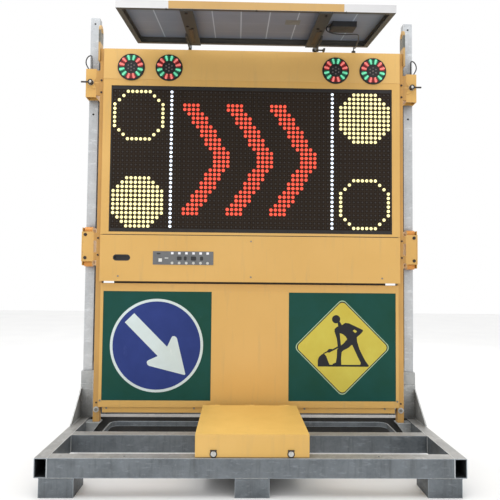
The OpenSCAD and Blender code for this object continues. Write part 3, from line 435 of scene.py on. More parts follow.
def coated(name, colour, shade, rough=0.42, chips=0.5, dust=ROAD_DUST, marks=0.22, gap_shade=0.55):
    """Paint from colour to shade: marks is how much rain has streaked it, chips how much is gone."""
    finish, surface = start_finish(name)
    clouds = noise(finish, 2.2, 4, 0.55)
    marks_value = noise(finish, 4, 5, 0.6, stretch=(7, 7, 0.6))
    specks = noise(finish, 120, 3, 0.7)
    paint = mix(finish, span(finish, clouds, 0.3, 0.7), colour, shade)
    paint = mix(finish, span(finish, marks_value, 0.55, 0.8, 0, marks), paint, dust)
    paint = mix(finish, span(finish, specks, 0.66, 0.74, 0, 0.35), paint, dust)
    rim = edges(finish, 0.004)
    chipped = sums(finish, "MULTIPLY", rim, span(finish, noise(finish, 60, 4, 0.7), 0.56, 0.62))
    # Every edge is lightened a little: a painted highlight. The chips along the edges are wear.
    paint = mix(finish, sums(finish, "MULTIPLY", rim, 0.25), paint, toned(colour, 1.25))
    paint = mix(finish, sums(finish, "MULTIPLY", chipped, chips), paint, CHIP_GREY)
    # Tight gaps and corners are darkened: painted shade.
    paint = mix(finish, sums(finish, "MULTIPLY", shade_in_gaps(finish, 0.05), gap_shade), paint, toned(shade, 0.22))
    join(finish, paint, surface.inputs["Base Color"])
    join(finish, span(finish, clouds, 0.3, 0.7, rough - 0.06, rough + 0.1), surface.inputs["Roughness"])
    peel = bump(finish, surface, noise(finish, 420, 2), 0.12, 0.0004)
    join(finish, add(finish, "ShaderNodeBevel", {"samples": 4}, Radius=0.0012).outputs["Normal"],
         peel.inputs["Normal"])
    surface.inputs["Coat Weight"].default_value = 0.12
    surface.inputs["Coat Roughness"].default_value = 0.3
    return finish


print("paint recipe ready")

# %% [markdown]
# ### Ten coats
# The lid's upward faces take a lighter yellow: painted light from above. The posts and the
# inner parts of the slides take a darker yellow with more rain marks and chips: the darker
# tone is painted shade, the marks and chips are wear. The header takes a lighter yellow,
# painted light against the solar panel's shadow, and the lifting lugs carry a patchy dark
# grey band. Each coat is the same recipe with other colours and other wear.

# %% Mix the paints
YELLOW = coated("yellow_powder_coat", (0.71, 0.425, 0.118), (0.66, 0.385, 0.098))
# A lighter yellow for the header: painted light against the solar panel's shadow.
YELLOW_HEADER_LIT = coated("yellow_header_lit", (0.735, 0.455, 0.140), (0.68, 0.41, 0.120))
# A darker yellow with more rain marks and chips: the darker tone is painted shade on the posts and the inner
# parts of the slides, the marks and chips are wear.
YELLOW_WORN_SHADED = coated("yellow_weathered_shaded", (0.62, 0.34, 0.08), (0.47, 0.26, 0.07), 0.55, 0.9, marks=0.5)
YELLOW_LID = coated("yellow_lid", (0.72, 0.445, 0.125), (0.64, 0.38, 0.090), 0.48, 0.7, marks=0.16)
# A lighter yellow for the lid's upward faces: painted light from above.
YELLOW_LIT_TOP = coated("yellow_lit_top", (0.90, 0.585, 0.160), (0.80, 0.50, 0.125), 0.5, 0.7, marks=0.10)
YELLOW_STRIP = coated("yellow_strip", (0.60, 0.38, 0.13), (0.55, 0.33, 0.11), 0.4, 0.3)
OLIVE = coated("olive_paint", (0.030, 0.026, 0.016), (0.022, 0.020, 0.014), 0.55, 0.5,
               (0.055, 0.036, 0.018))
# A darker yellow with a patchy dark grey band between two heights.
LUG_BANDED = coated("lug_banded", (0.56, 0.34, 0.10), (0.42, 0.26, 0.09), 0.55, 0.9, marks=0.5)
cover_band(LUG_BANDED, (2.660, 2.668), (2.745, 2.752, 1.0, 0.0), 40, (0.3, 0.5, 0.75, 1.0),
           (0.11, 0.115, 0.10))
ARM_SLATE = coated("arm_slate", (0.034, 0.037, 0.036), (0.026, 0.028, 0.027), 0.55, 0.5,
                   (0.060, 0.052, 0.036), gap_shade=0.3)
BLACK = coated("black_paint", (0.022, 0.022, 0.023), (0.03, 0.029, 0.028), 0.45, 0.5, (0.12, 0.11, 0.10))
print("ten coats of paint")

# %% [markdown]
# ## Aluminium, plastics and rubber
# The solar frame is anodised aluminium: pale, fine-brushed along its length. The cases, the
# keypad and the rollers are moulded, so they get a fine grain and slightly uneven gloss.

# %% Mix the smaller finishes
def aluminium(name, colour, shine=0.75, rough=0.38):
    finish, surface = start_finish(name)
    drawn = noise(finish, 60, 3, 0.6, stretch=(0.4, 9, 9))
    clouds = noise(finish, 5, 3)
    metal = mix(finish, drawn, toned(colour, 0.86), colour)
    metal = mix(finish, span(finish, clouds, 0.5, 0.8, 0, 0.3), metal, toned(colour, 0.6))
    join(finish, metal, surface.inputs["Base Color"])
    surface.inputs["Metallic"].default_value = shine
    join(finish, span(finish, drawn, 0.2, 0.8, rough - 0.05, rough + 0.08), surface.inputs["Roughness"])
    bump(finish, surface, drawn, 0.08, 0.0003)
    return finish


def moulded(name, colour, rough=0.5, grain=0.25, gloss=0.0):
    finish, surface = start_finish(name)
    clouds = noise(finish, 18, 4, 0.6)
    tint = mix(finish, span(finish, clouds, 0.3, 0.75), colour, toned(colour, 0.78))
    # Every edge is lightened: a painted highlight.
    rim = edges(finish, 0.002)
    tint = mix(finish, sums(finish, "MULTIPLY", rim, 0.35), tint, toned(colour, 1.5, 0.02))
    join(finish, tint, surface.inputs["Base Color"])
    join(finish, span(finish, clouds, 0.3, 0.7, rough - 0.07, rough + 0.07), surface.inputs["Roughness"])
    bump(finish, surface, noise(finish, 900, 2), grain, 0.0003)
    surface.inputs["Coat Weight"].default_value = gloss
    return finish


ALUMINIUM = aluminium("anodised_aluminium", (0.74, 0.74, 0.75))
ALUMINIUM_DULL = aluminium("dull_aluminium", (0.40, 0.38, 0.34), 0.5, 0.5)
ALUMINIUM_SHADED = aluminium("shaded_aluminium", (0.105, 0.100, 0.088), 0.45, 0.55)
BLACKENED = aluminium("blackened_steel", (0.055, 0.048, 0.046), 0.8, 0.35)
BOLT_ZINC = aluminium("bright_zinc", (0.62, 0.62, 0.60), 0.9, 0.32)
BOLT_DARK = aluminium("dulled_zinc", (0.28, 0.26, 0.23), 0.7, 0.45)
DARK_PLASTIC = moulded("dark_plastic", (0.022, 0.022, 0.024), 0.5)
GREY_PLASTIC = moulded("keypad_grey", (0.16, 0.165, 0.17), 0.5)
BUTTON_PALE = moulded("button_pale", (0.62, 0.62, 0.58), 0.4, 0.15, 0.2)
BUTTON_WHITE = moulded("button_white", (0.85, 0.85, 0.82), 0.35, 0.1, 0.3)
LEAD_RUBBER = moulded("lead_rubber", (0.030, 0.030, 0.033), 0.45, 0.15)
ROLLER_ORANGE = moulded("roller_polyurethane", (0.80, 0.33, 0.045), 0.42, 0.2, 0.15)
CIRCUIT_GREEN = moulded("circuit_board", (0.02, 0.10, 0.045), 0.45, 0.1)
FACE_BLACK = moulded("display_black", (0.012, 0.009, 0.008), 0.62, 0.3)
LAMP_BLACK = moulded("lamp_black", (0.010, 0.010, 0.011), 0.5, 0.2)
print("metals and plastics ready")

# %% [markdown]
# ## Solar laminate
# Seen from above, the panel is dark cells under glass, 4 rows of 9, each 156 mm square with a
# thin white gap. From below it is a pale back sheet on which the cells show as faint squares.
# Two finishes share one pattern of lines, made from the piece's own coordinates, and each
# face of the laminate takes the one that belongs to it.

# %% Finish both sides of the laminate
CELL = 0.1605
CELLS_LONG, CELLS_DEEP = 9, 4
PANEL_TILT = math.radians(7.6)
PIVOT_Y = -0.150
CELLS_MIDDLE = 0.435  # from the pivot to the middle of the cells, along the panel
BARS_PER_CELL = 3


def cell_lines(finish, wide):
    """1 on the gaps between cells, 0 on the cells. The lines follow the tilted panel."""
    x, y = add(finish, "ShaderNodeSeparateXYZ", Vector=place(finish)).outputs[:2]
    along = sums(finish, "ADD", sums(finish, "DIVIDE", x, CELL), 0.5 * CELLS_LONG)
    down = sums(finish, "DIVIDE", sums(finish, "ADD", y, -PIVOT_Y), math.cos(PANEL_TILT))
    across = sums(finish, "DIVIDE", sums(finish, "ADD", down, CELLS_MIDDLE + CELL * CELLS_DEEP / 2), CELL)
    gaps = [sums(finish, "GREATER_THAN", off_centre(finish, value), 0.5 - wide / CELL / 2)
            for value in (along, across)]
    outside = sums(finish, "GREATER_THAN",
                   sums(finish, "ABSOLUTE", sums(finish, "SUBTRACT", along, 0.5 * CELLS_LONG)),
                   0.5 * CELLS_LONG)
    return sums(finish, "MAXIMUM", sums(finish, "MAXIMUM", *gaps), outside), along, across


cell_glass, glass_surface = start_finish("cell_glass")
lines, along, across = cell_lines(cell_glass, 0.004)
bars = off_centre(cell_glass, sums(cell_glass, "MULTIPLY", across, BARS_PER_CELL))
bus = sums(cell_glass, "GREATER_THAN", bars, 0.485)
cells = mix(cell_glass, noise(cell_glass, 30, 4), (0.006, 0.010, 0.035), (0.012, 0.020, 0.065))
cells = mix(cell_glass, bus, cells, (0.35, 0.36, 0.38))
join(cell_glass, mix(cell_glass, lines, cells, (0.62, 0.63, 0.64)), glass_surface.inputs["Base Color"])
glass_surface.inputs["Roughness"].default_value = 0.12
glass_surface.inputs["Coat Weight"].default_value = 1.0
glass_surface.inputs["Coat Roughness"].default_value = 0.04

back_sheet, sheet_surface = start_finish("back_sheet")
lines, along, across = cell_lines(back_sheet, 0.006)
dirt = noise(back_sheet, 9, 5, 0.6)
pale = mix(back_sheet, span(back_sheet, dirt, 0.35, 0.75), (0.205, 0.235, 0.285), (0.175, 0.205, 0.25))
square = mix(back_sheet, span(back_sheet, noise(back_sheet, 3, 2), 0.3, 0.7),
             (0.178, 0.205, 0.255), (0.148, 0.172, 0.218))
square = mix(back_sheet, lines, square, pale)
upright = span(back_sheet, off_centre(back_sheet, along), 0.5 - 0.0042 / CELL, 0.5 - 0.0015 / CELL, 0.0, 0.9)
join(back_sheet, mix(back_sheet, upright, square, (0.42, 0.48, 0.56)), sheet_surface.inputs["Base Color"])
sheet_surface.inputs["Roughness"].default_value = 0.5
bump(back_sheet, sheet_surface, noise(back_sheet, 160, 3), 0.1, 0.0004)
print("laminate pitch", CELL, "m")

# %% [markdown]
# ## Dressing the frame
# Each CAD piece keeps its shape and only its material slots are filled. A table from piece
# to finish is easier to check than sixty separate lines, and a missing name stops the script.

# %% Give every CAD piece its finish
FINISH_OF = {
    "side_rails": ZINC_BASE, "front_rail": ZINC_BASE, "cross_rails": ZINC_BASE,
    "base_feet": ZINC_BASE, "mast_sockets": ZINC_SOCKET, "masts": ZINC_MAST,
    "post_shoes": ZINC_SOCKET, "cable_guard_bar": ZINC_BASE, "battery_tray": ZINC_TRAY,
    "batteries": DARK_PLASTIC, "cover_back_plate": YELLOW_LID, "battery_cover": YELLOW_LID,
    "left_cover_latch": BOLT_ZINC, "right_cover_latch": BOLT_ZINC,
    # The posts take the darker yellow, painted shade in their recess; the header takes the lighter yellow,
    # painted light.
    "board_posts": YELLOW_WORN_SHADED, "display_cabinet": YELLOW, "header_panel": YELLOW_HEADER_LIT,
    "display_mask": FACE_BLACK, "led_modules": CIRCUIT_GREEN, "lamp_housings": LAMP_BLACK,
    "power_supplies": ALUMINIUM_DULL, "charge_controller": DARK_PLASTIC,
    "control_box": YELLOW, "control_panel": YELLOW, "keypad_plate": GREY_PLASTIC,
    "pull_recess": DARK_PLASTIC, "sign_frame": YELLOW, "centre_panel": YELLOW,
    "rear_panels": YELLOW, "board_screws": BOLT_DARK, "upper_sleeves": YELLOW,
    "sleeve_loops": LEAD_RUBBER, "lower_guides": YELLOW, "lifting_lugs": LUG_BANDED,
    "solar_brackets": OLIVE, "solar_frame": ALUMINIUM, "solar_arms": ARM_SLATE,
    "junction_box": DARK_PLASTIC, "solar_front_strip": YELLOW_STRIP, "tilt_lock": BLACK,
    "left_clamp_screw": BLACKENED, "right_clamp_screw": BLACKENED,
    "left_upper_roller": ROLLER_ORANGE, "left_lower_roller": ROLLER_ORANGE,
    "right_upper_roller": ROLLER_ORANGE, "right_lower_roller": ROLLER_ORANGE,
    "power_button": BUTTON_WHITE,
}
for number in range(1, 7):
    FINISH_OF[f"button_{number}"] = BUTTON_PALE


def dress(piece, *finishes):
    piece.data.materials.clear()
    for finish in finishes:
        piece.data.materials.append(finish)


for node, finish in FINISH_OF.items():
    dress(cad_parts[node], finish)


def dress_where(name, first, *rules):
    """Each rule is a finish and a test of a face's middle and normal. The last that passes wins."""
    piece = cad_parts[name]
    dress(piece, first, *(finish for finish, test in rules))
    counts = [0] * (1 + len(rules))
    for face in piece.data.polygons:
        middle = piece.matrix_world @ face.center
        passed = [0] + [k + 1 for k, (finish, test) in enumerate(rules) if test(middle, face.normal)]
        face.material_index = passed[-1]
        counts[passed[-1]] += 1
    print(name, "faces by finish", counts)


MAST_X = 1.070
POST_INNER_X = 1.032
GUIDE_BOLT_ZS = (1.396, 1.244)
dress_where("solar_laminate", cell_glass, (back_sheet, lambda at, way: way.z < -0.5))
FRAME_LOW, FRAME_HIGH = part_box("solar_frame")
dress_where("solar_frame", ALUMINIUM, (
    ALUMINIUM_SHADED,
    lambda at, way: way.z < -0.5 or (abs(at.x) < FRAME_HIGH.x - 0.002 and abs(way.x) > 0.5)
    or (way.y < -0.5 and at.y > FRAME_LOW.y + 0.02) or (way.y > 0.5 and at.y < FRAME_HIGH.y - 0.02)))
for name in ("side_rails", "front_rail", "cross_rails"):
    # Upward faces take a paler zinc, painted light from above; the middle cross rail's front face takes a
    # near-black zinc, painted shadow under the sign.
    dress_where(name, ZINC_BASE, (ZINC_LIT_TOP, lambda at, way: way.z > 0.5 and at.z > 0.19),
                (ZINC_SHADOWED, lambda at, way: abs(at.y) < 0.045 and abs(at.x) < 1.04 and way.y < -0.5))
# The lid's upward faces take the lighter yellow: painted light from above.
dress_where("battery_cover", YELLOW_LID, (YELLOW_LIT_TOP, lambda at, way: way.z > 0.5))
dress_where("display_cabinet", YELLOW, (DARK_PLASTIC, lambda at, way: at.z > 2.6108))
# The masts' inner faces take the nearly black band: painted shadow beside the board.
dress_where("masts", ZINC_MAST, (MAST_SHADOWED, lambda at, way: at.x * way.x < -0.5))
# The inner parts of the guides and sleeves, beside the cabinet, take the darker yellow: painted shade.
dress_where("lower_guides", YELLOW, (YELLOW_WORN_SHADED, lambda at, way: abs(at.x) < POST_INNER_X),
            (BLACKENED, lambda at, way: at.y < -0.1055
             and min(abs(at.z - bolt_z) for bolt_z in GUIDE_BOLT_ZS) < 0.012))
dress_where("upper_sleeves", YELLOW, (YELLOW_WORN_SHADED, lambda at, way: abs(at.x) < POST_INNER_X),
            (BOLT_ZINC, lambda at, way: at.y < -0.1095 and abs(abs(at.x) - MAST_X) < 0.021))
solar_cable.data.materials.append(LEAD_RUBBER)
print("dressed", len(FINISH_OF) + 1, "pieces")

# %% [markdown]
# ## The display
# The display is a black face of 64 by 32 light-emitting dots, 28.4 mm apart, built from eight
# modules. Each dot is a small domed lens. A picture texture could show the dots, but real
# domes catch light from the side, so every dot is a little mesh dome, and all the dots of
# one colour are merged into one piece.

# %% Helpers for merged pieces and lit lenses
def merged(name, mesh_maker, body, finish, smooth=False):
    """One piece made by filling a bmesh. It rides on a body and takes a finish."""
    shape = bmesh.new()
    mesh_maker(shape)
    data = bpy.data.meshes.new(name)
    shape.normal_update()
    shape.to_mesh(data)
    shape.free()
    if smooth:
        for face in data.polygons:
            face.use_smooth = True
    piece = bpy.data.objects.new(name, data)
    bpy.context.scene.collection.objects.link(piece)
    data.materials.append(finish)
    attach(piece, body)
    return piece


DOME_RINGS = ((1.0, 0.0), (0.92, 0.45), (0.62, 0.85))  # shares of the radius and of the height


def dome(shape, x, y, z, radius, height, sides=10):
    """A lens that bulges towards the viewer, its rim in the plane y."""
    rings = []
    for reach, rise in DOME_RINGS:
        ring = []
        for k in range(sides):
            turn = 2 * math.pi * k / sides
            ring.append(shape.verts.new((x + radius * reach * math.cos(turn), y - height * rise,
                                         z + radius * reach * math.sin(turn))))
        rings.append(ring)
    tip = shape.verts.new((x, y - height, z))
    for low, high in zip(rings, rings[1:]):
        for k in range(sides):
            n = (k + 1) % sides
            shape.faces.new((low[k], low[n], high[n], high[k]))
    for k in range(sides):
        shape.faces.new((rings[-1][k], rings[-1][(k + 1) % sides], tip))


def glowing(name, colour, glow):
    """A lens lit from behind, a little uneven from dot to dot."""
    finish, surface = start_finish(name)
    uneven = noise(finish, 26, 2)
    tint = mix(finish, span(finish, uneven, 0.35, 0.7), toned(colour, 0.78), colour)
    join(finish, tint, surface.inputs["Base Color"])
    join(finish, tint, surface.inputs["Emission Color"])
    surface.inputs["Emission Strength"].default_value = glow
    surface.inputs["Roughness"].default_value = 0.35
    return finish


AMBER_LIT = glowing("dot_amber", (0.95, 0.86, 0.42), 0.85)
RED_LIT = glowing("dot_red", (0.90, 0.085, 0.045), 0.75)
WHITE_LIT = glowing("dot_white", (0.80, 0.88, 1.0), 1.1)
DOT_DARK = moulded("dot_dark", (0.016, 0.011, 0.008), 0.35, 0.05, 0.1)
print("dot finishes ready")

# %% [markdown]
# ## What the display shows
# The display has a beacon in each corner, an octagon twelve dots wide: two are rings and two
# are filled. Two white lines close in the middle field, where three red chevrons point to
# the free lane. The lit dots are worked out from rules, row by row.

# %% Choose the lit dots
DOT_COLUMNS, DOT_ROWS, DOT_PITCH = 64, 32, 0.0284
DISPLAY_MIDDLE = 1.890
BEACON, BEACON_CUT = 12, 3
FAR_COLUMN, FAR_ROW = DOT_COLUMNS - BEACON, DOT_ROWS - BEACON
CHEVRON_STARTS, CHEVRON_THICK, CHEVRON_MARGIN, CHEVRON_LEAN = (16, 26, 36), 4, 3, 0.62


def octagon(column, row):
    """2 outside, 1 on the rim, 0 inside a beacon's octagon."""
    right_way, down_way = min(column, BEACON - 1 - column), min(row, BEACON - 1 - row)
    if right_way + down_way < BEACON_CUT:
        return 2
    if right_way == 0 or down_way == 0 or right_way + down_way == BEACON_CUT:
        return 1
    return 0


lit = {}
for corner_column, corner_row, filled in ((0, 0, False), (FAR_COLUMN, 0, True),
                                          (0, FAR_ROW, True), (FAR_COLUMN, FAR_ROW, False)):
    for column in range(BEACON):
        for row in range(BEACON):
            where = octagon(column, row)
            if where == 1 or (filled and where == 0):
                lit[(corner_column + column, corner_row + row)] = "amber"
for row in range(DOT_ROWS):
    for column in (BEACON + 1, FAR_COLUMN - 2):
        lit[(column, row)] = "white"
for start in CHEVRON_STARTS:
    for row in range(CHEVRON_MARGIN, DOT_ROWS - CHEVRON_MARGIN):
        lean = (DOT_ROWS / 2 - CHEVRON_MARGIN - abs(row - (DOT_ROWS - 1) / 2)) * CHEVRON_LEAN
        for thick in range(CHEVRON_THICK):
            lit[(start + round(lean - 0.5) + thick, row)] = "red"
print({colour: list(lit.values()).count(colour) for colour in ("amber", "white", "red")})

# %% [markdown]
# ### Setting the dots
# Lit dots are larger and taller than dark ones, because a lit lens seems to spill over its
# rim. Dark dots are the most numerous and the least seen, so they are made with fewer sides.

# %% Set the dots
FACE_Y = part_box("led_modules")[0].y
SUNK = 0.0001  # how far a lens is sunk behind its face, so that no slit shows
DOT_LENS = {"amber": 0.0108, "white": 0.0100, "red": 0.0112}


def dot_place(column, row):
    """The x and z of a dot. Row 0 is at the top."""
    return ((column - (DOT_COLUMNS - 1) / 2) * DOT_PITCH,
            DISPLAY_MIDDLE + ((DOT_ROWS - 1) / 2 - row) * DOT_PITCH)


def set_dots(colour, radius, height):
    """A mesh maker for all the dots of one colour."""
    sides = 8 if colour == "dark" else 10

    def fill(shape):
        for row in range(DOT_ROWS):
            for column in range(DOT_COLUMNS):
                if lit.get((column, row), "dark") == colour:
                    x, z = dot_place(column, row)
                    dome(shape, x, FACE_Y + SUNK, z, radius, height, sides)
    return fill


for colour, finish in (("amber", AMBER_LIT), ("white", WHITE_LIT), ("red", RED_LIT)):
    merged(f"dots_{colour}", set_dots(colour, DOT_LENS[colour], 0.005), "board", finish, True)
merged("dots_dark", set_dots("dark", 0.0062, 0.003), "board", DOT_DARK, True)

module_face, module_surface = start_finish("module_face")
x, _, z = add(module_face, "ShaderNodeSeparateXYZ", Vector=place(module_face)).outputs
ribs = []
for value, middle in ((x, 0.0), (z, DISPLAY_MIDDLE)):
    steps = sums(module_face, "DIVIDE", sums(module_face, "SUBTRACT", value, middle), DOT_PITCH)
    ribs.append(sums(module_face, "GREATER_THAN", off_centre(module_face, steps), 0.44))
rib = sums(module_face, "MAXIMUM", *ribs)
warm = mix(module_face, noise(module_face, 5, 3), (0.013, 0.008, 0.005), (0.022, 0.012, 0.007))
join(module_face, mix(module_face, rib, warm, (0.034, 0.025, 0.016)), module_surface.inputs["Base Color"])
module_surface.inputs["Roughness"].default_value = 0.85
module_surface.inputs["Specular IOR Level"].default_value = 0.25
bump(module_face, module_surface, rib, 0.3, 0.001)
dress(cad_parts["led_modules"], module_face)
print("display face at y", round(FACE_Y, 4))

# %% [markdown]
# ## Sign plates
# Each plate is a sheet of green reflective film with a sign cut from more film on top of it.
# The signs could be painted with masks, but film has an edge that catches light, so every
# colour is a cut-out a fraction of a millimetre thick, laid on the one below.

# %% Helpers for cut film
def film(name, colour, shade):
    """Reflective film: tiny sealed cells, slow fading and a few pale scuffs."""
    finish, surface = start_finish(name)
    fading = noise(finish, 4, 4, 0.6)
    scuffs = noise(finish, 9, 5, 0.65, stretch=(1.0, 1.0, 0.6))
    tint = mix(finish, span(finish, fading, 0.3, 0.7), colour, shade)
    tint = mix(finish, span(finish, scuffs, 0.66, 0.80, 0, 0.35), tint, toned(colour, 1.5, 0.10))
    join(finish, tint, surface.inputs["Base Color"])
    surface.inputs["Roughness"].default_value = 0.38
    surface.inputs["Specular IOR Level"].default_value = 0.15
    hexes = add(finish, "ShaderNodeTexVoronoi", {"feature": "DISTANCE_TO_EDGE"},
                Vector=place(finish), Scale=260)
    bump(finish, surface, hexes.outputs["Distance"], 0.15, 0.0003)
    return finish


def cut(shape, outline, y_front, thick):
    """Adds a flat cut-out of that outline, in x and z, with its front in the plane y_front."""
    front = [shape.verts.new((x, y_front, z)) for x, z in outline]
    back = [shape.verts.new((x, y_front + thick, z)) for x, z in outline]
    made = [shape.faces.new(front), shape.faces.new(back[::-1])]
    for k in range(len(outline)):
        n = (k + 1) % len(outline)
        made.append(shape.faces.new((front[n], front[k], back[k], back[n])))
    bmesh.ops.recalc_face_normals(shape, faces=made)
    bmesh.ops.triangulate(shape, faces=made[:2])


def shifted(outline, x, z, scale=1.0):
    """The outline scaled and moved so that its own zero lies at x, z."""
    return [(x + scale * a, z + scale * b) for a, b in outline]


def disc(radius, count=72):
    """A round outline about zero."""
    return [(radius * math.cos(2 * math.pi * k / count), radius * math.sin(2 * math.pi * k / count))
            for k in range(count)]


def rounded(corners, radius, count=6):
    """A convex outline with its corners rounded, each by a short arc."""
    outline = []
    for k, corner in enumerate(corners):
        here = Vector(corner)
        before = (Vector(corners[k - 1]) - here).normalized()
        after = (Vector(corners[(k + 1) % len(corners)]) - here).normalized()
        half = before.angle(after) / 2
        middle = here + (before + after).normalized() * radius / math.sin(half)
        first = here + before * radius / math.tan(half) - middle
        last = here + after * radius / math.tan(half) - middle
        for i in range(count + 1):
            spoke = first.lerp(last, i / count).normalized() * radius
            outline.append((middle.x + spoke.x, middle.y + spoke.y))
    return outline


def rounded_box(x_low, x_high, z_low, z_high, radius):
    """A rectangle with rounded corners."""
    return rounded([(x_low, z_low), (x_high, z_low), (x_high, z_high), (x_low, z_high)], radius)


FILM_GREEN = film("film_green", (0.009, 0.074, 0.062), (0.008, 0.062, 0.040))
FILM_BLUE = film("film_blue", (0.030, 0.052, 0.230), (0.022, 0.040, 0.180))
FILM_WHITE = film("film_white", (0.68, 0.78, 0.79), (0.60, 0.68, 0.66))
FILM_YELLOW = film("film_yellow", (0.63, 0.55, 0.095), (0.56, 0.44, 0.060))
FILM_PALE = film("film_pale_edge", (0.42, 0.56, 0.36), (0.36, 0.50, 0.33))
FILM_BLACK = film("film_black", (0.020, 0.022, 0.024), (0.028, 0.026, 0.034))
for node in ("left_sign_plate", "right_sign_plate"):
    dress(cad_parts[node], FILM_GREEN)
FILM_THICK = 0.0006
print("six colours of film")

# %% [markdown]
# ### The keep-right disc
# A 600 mm disc: a white one, a blue one on it that leaves a 17 mm rim, and a fat arrow. The
# arrow is drawn along its own axis, with rounded barbs, and then turned 45 degrees down.

# %% Cut the disc and its arrow
DISC_RADIUS, RIM_WIDE = 0.300, 0.017
left_low, left_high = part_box("left_sign_plate")
DISC_MIDDLE = ((left_low.x + left_high.x) / 2 - 0.002, 0.681)
ARROW_HALF = [(-0.250, 0.0), (-0.250, 0.042), (0.054, 0.042), (0.031, 0.104), (0.030, 0.114),
              (0.036, 0.122), (0.048, 0.127), (0.060, 0.125), (0.070, 0.119), (0.262, 0.004)]
arrow = ARROW_HALF + [(a, -b) for a, b in reversed(ARROW_HALF)][:-1]
arrow = [((a + b) * math.sqrt(0.5), (b - a) * math.sqrt(0.5)) for a, b in arrow]


def film_piece(name, outline, layer, finish, plate_front):
    """One cut of film, so many layers above the plate."""
    return merged(name, lambda shape: cut(shape, outline, plate_front - FILM_THICK * layer, FILM_THICK),
                  "board", finish)


film_piece("disc_rim", shifted(disc(DISC_RADIUS), *DISC_MIDDLE), 1, FILM_WHITE, left_low.y)
film_piece("disc_field", shifted(disc(DISC_RADIUS - RIM_WIDE), *DISC_MIDDLE), 2, FILM_BLUE, left_low.y)
film_piece("disc_arrow", shifted(arrow, *DISC_MIDDLE), 3, FILM_WHITE, left_low.y)
print("disc across", 2 * DISC_RADIUS, "arrow long", round(ARROW_HALF[-1][0] - ARROW_HALF[0][0], 3))

# %% [markdown]
# ### The works-ahead diamond
# A square on its corner, pale edge, thin dark line and yellow field, with a plain figure that
# digs: a disc for the head and one outline for each limb, a shovel, a heap and the ground.

# %% Cut the diamond
right_low, right_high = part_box("right_sign_plate")
DIAMOND_MIDDLE = ((right_low.x + right_high.x) / 2, 0.676)


def diamond(half, corner):
    """A square on its corner: half is from its middle to a corner before rounding."""
    return shifted(rounded([(0, half), (half, 0), (0, -half), (-half, 0)], corner), *DIAMOND_MIDDLE)


film_piece("diamond_edge", diamond(0.318, 0.034), 1, FILM_PALE, right_low.y)
film_piece("diamond_line", diamond(0.310, 0.032), 2, FILM_BLACK, right_low.y)
film_piece("diamond_field", diamond(0.302, 0.030), 3, FILM_YELLOW, right_low.y)

WORKER = {  # outlines in millimetres from the middle of the diamond
    "head": shifted(disc(27, 28), -41, 182),
    "neck": [(-32, 166), (-16, 166), (4, 132), (-26, 124)],
    "back": [(-52, 118), (-34, 134), (-6, 142), (18, 159), (44, 156), (70, 144), (104, 128), (130, 116),
             (136, 108), (124, 92), (106, 76), (94, 66), (98, 30), (62, 16), (32, 22), (34, 48), (22, 70),
             (2, 86), (-18, 92), (-46, 92)],
    "near_arm": [(-53, 108), (-18, 100), (-14, 60), (-9, 14), (-18, 2), (-30, 4), (-36, 54)],
    "near_leg": [(30, 52), (70, 26), (44, 0), (6, -20), (-4, -30), (-8, -74), (-6, -116), (-66, -116),
                 (-62, -106), (-42, -98), (-36, -60), (-34, -14), (-18, 6), (6, 24)],
    "far_leg": [(56, 34), (98, 34), (112, -10), (132, -52), (152, -88), (170, -112), (172, -118),
                (116, -118), (120, -98), (98, -56), (76, -8)],
    "shovel_shaft": [(-24, 10), (-18, 0), (-74, -28), (-78, -19)],
    "shovel_blade": [(-66, -10), (-70, -26), (-84, -34), (-98, -33), (-126, -46), (-124, -38),
                     (-100, -24), (-88, -10)],
    "heap": [(-160, -118), (-160, -84), (-152, -62), (-132, -44), (-116, -44), (-104, -58),
             (-92, -92), (-80, -118)],
    "ground": [(-160, -112), (-160, -124), (172, -124), (172, -112)],
}


def draw_worker(shape):
    """Cuts every part of the figure, each a hair in front of the last so that no two faces fight."""
    for lift, outline in enumerate(WORKER.values()):
        spot = shifted(outline, *DIAMOND_MIDDLE, scale=0.001)
        cut(shape, spot, right_low.y - FILM_THICK * 3.3 - 0.00002 * lift, FILM_THICK * 0.4)


merged("worker", draw_worker, "board", FILM_BLACK)
film_piece("worker_gap", shifted([(68, 108), (80, 116), (96, 104), (84, 94)], *DIAMOND_MIDDLE, scale=0.001),
           4, FILM_YELLOW, right_low.y)
print("figure parts", len(WORKER))

# %% [markdown]
# ## Signal lamps
# Each round lamp has six pairs of petals, by turns green and red, and each petal is a row of
# three small lenses over a tinted reflector. The lenses shine more than the reflector, which
# is what makes the petals look long and soft from afar.

# %% Light the signal lamps
RED_LENS = glowing("lens_red", (0.86, 0.20, 0.17), 0.45)
GREEN_LENS = glowing("lens_green", (0.16, 0.72, 0.42), 0.45)
RED_PETAL = glowing("petal_red", (0.34, 0.018, 0.022), 0.25)
GREEN_PETAL = glowing("petal_green", (0.010, 0.17, 0.085), 0.25)
lamps_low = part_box("lamp_housings")[0]
petals_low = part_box("lamp_petals_red")[0]
LAMP_XS = (-0.792, -0.546, 0.546, 0.792)
LAMP_Z = 2.488
dress(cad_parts["lamp_petals_red"], RED_PETAL)
dress(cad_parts["lamp_petals_green"], GREEN_PETAL)


PETAL_LENSES = ((0.050, 0.0062), (0.0605, 0.0078), (0.0715, 0.0084))  # distance out, radius


def petal_lenses(first):
    """A mesh maker for every second pair of petals, from that angle on."""
    def fill(shape):
        for x in LAMP_XS:
            for pair in range(3):
                for half in (-1, 1):
                    turn = math.radians(first + 120 * pair + 15 * half)
                    for reach, size in PETAL_LENSES:
                        dome(shape, x + reach * math.cos(turn), petals_low.y + SUNK,
                             LAMP_Z + reach * math.sin(turn), size, 0.003)
    return fill


merged("lenses_red", petal_lenses(30), "board", RED_LENS, True)
merged("lenses_green", petal_lenses(90), "board", GREEN_LENS, True)


HEART_REACH = 0.022


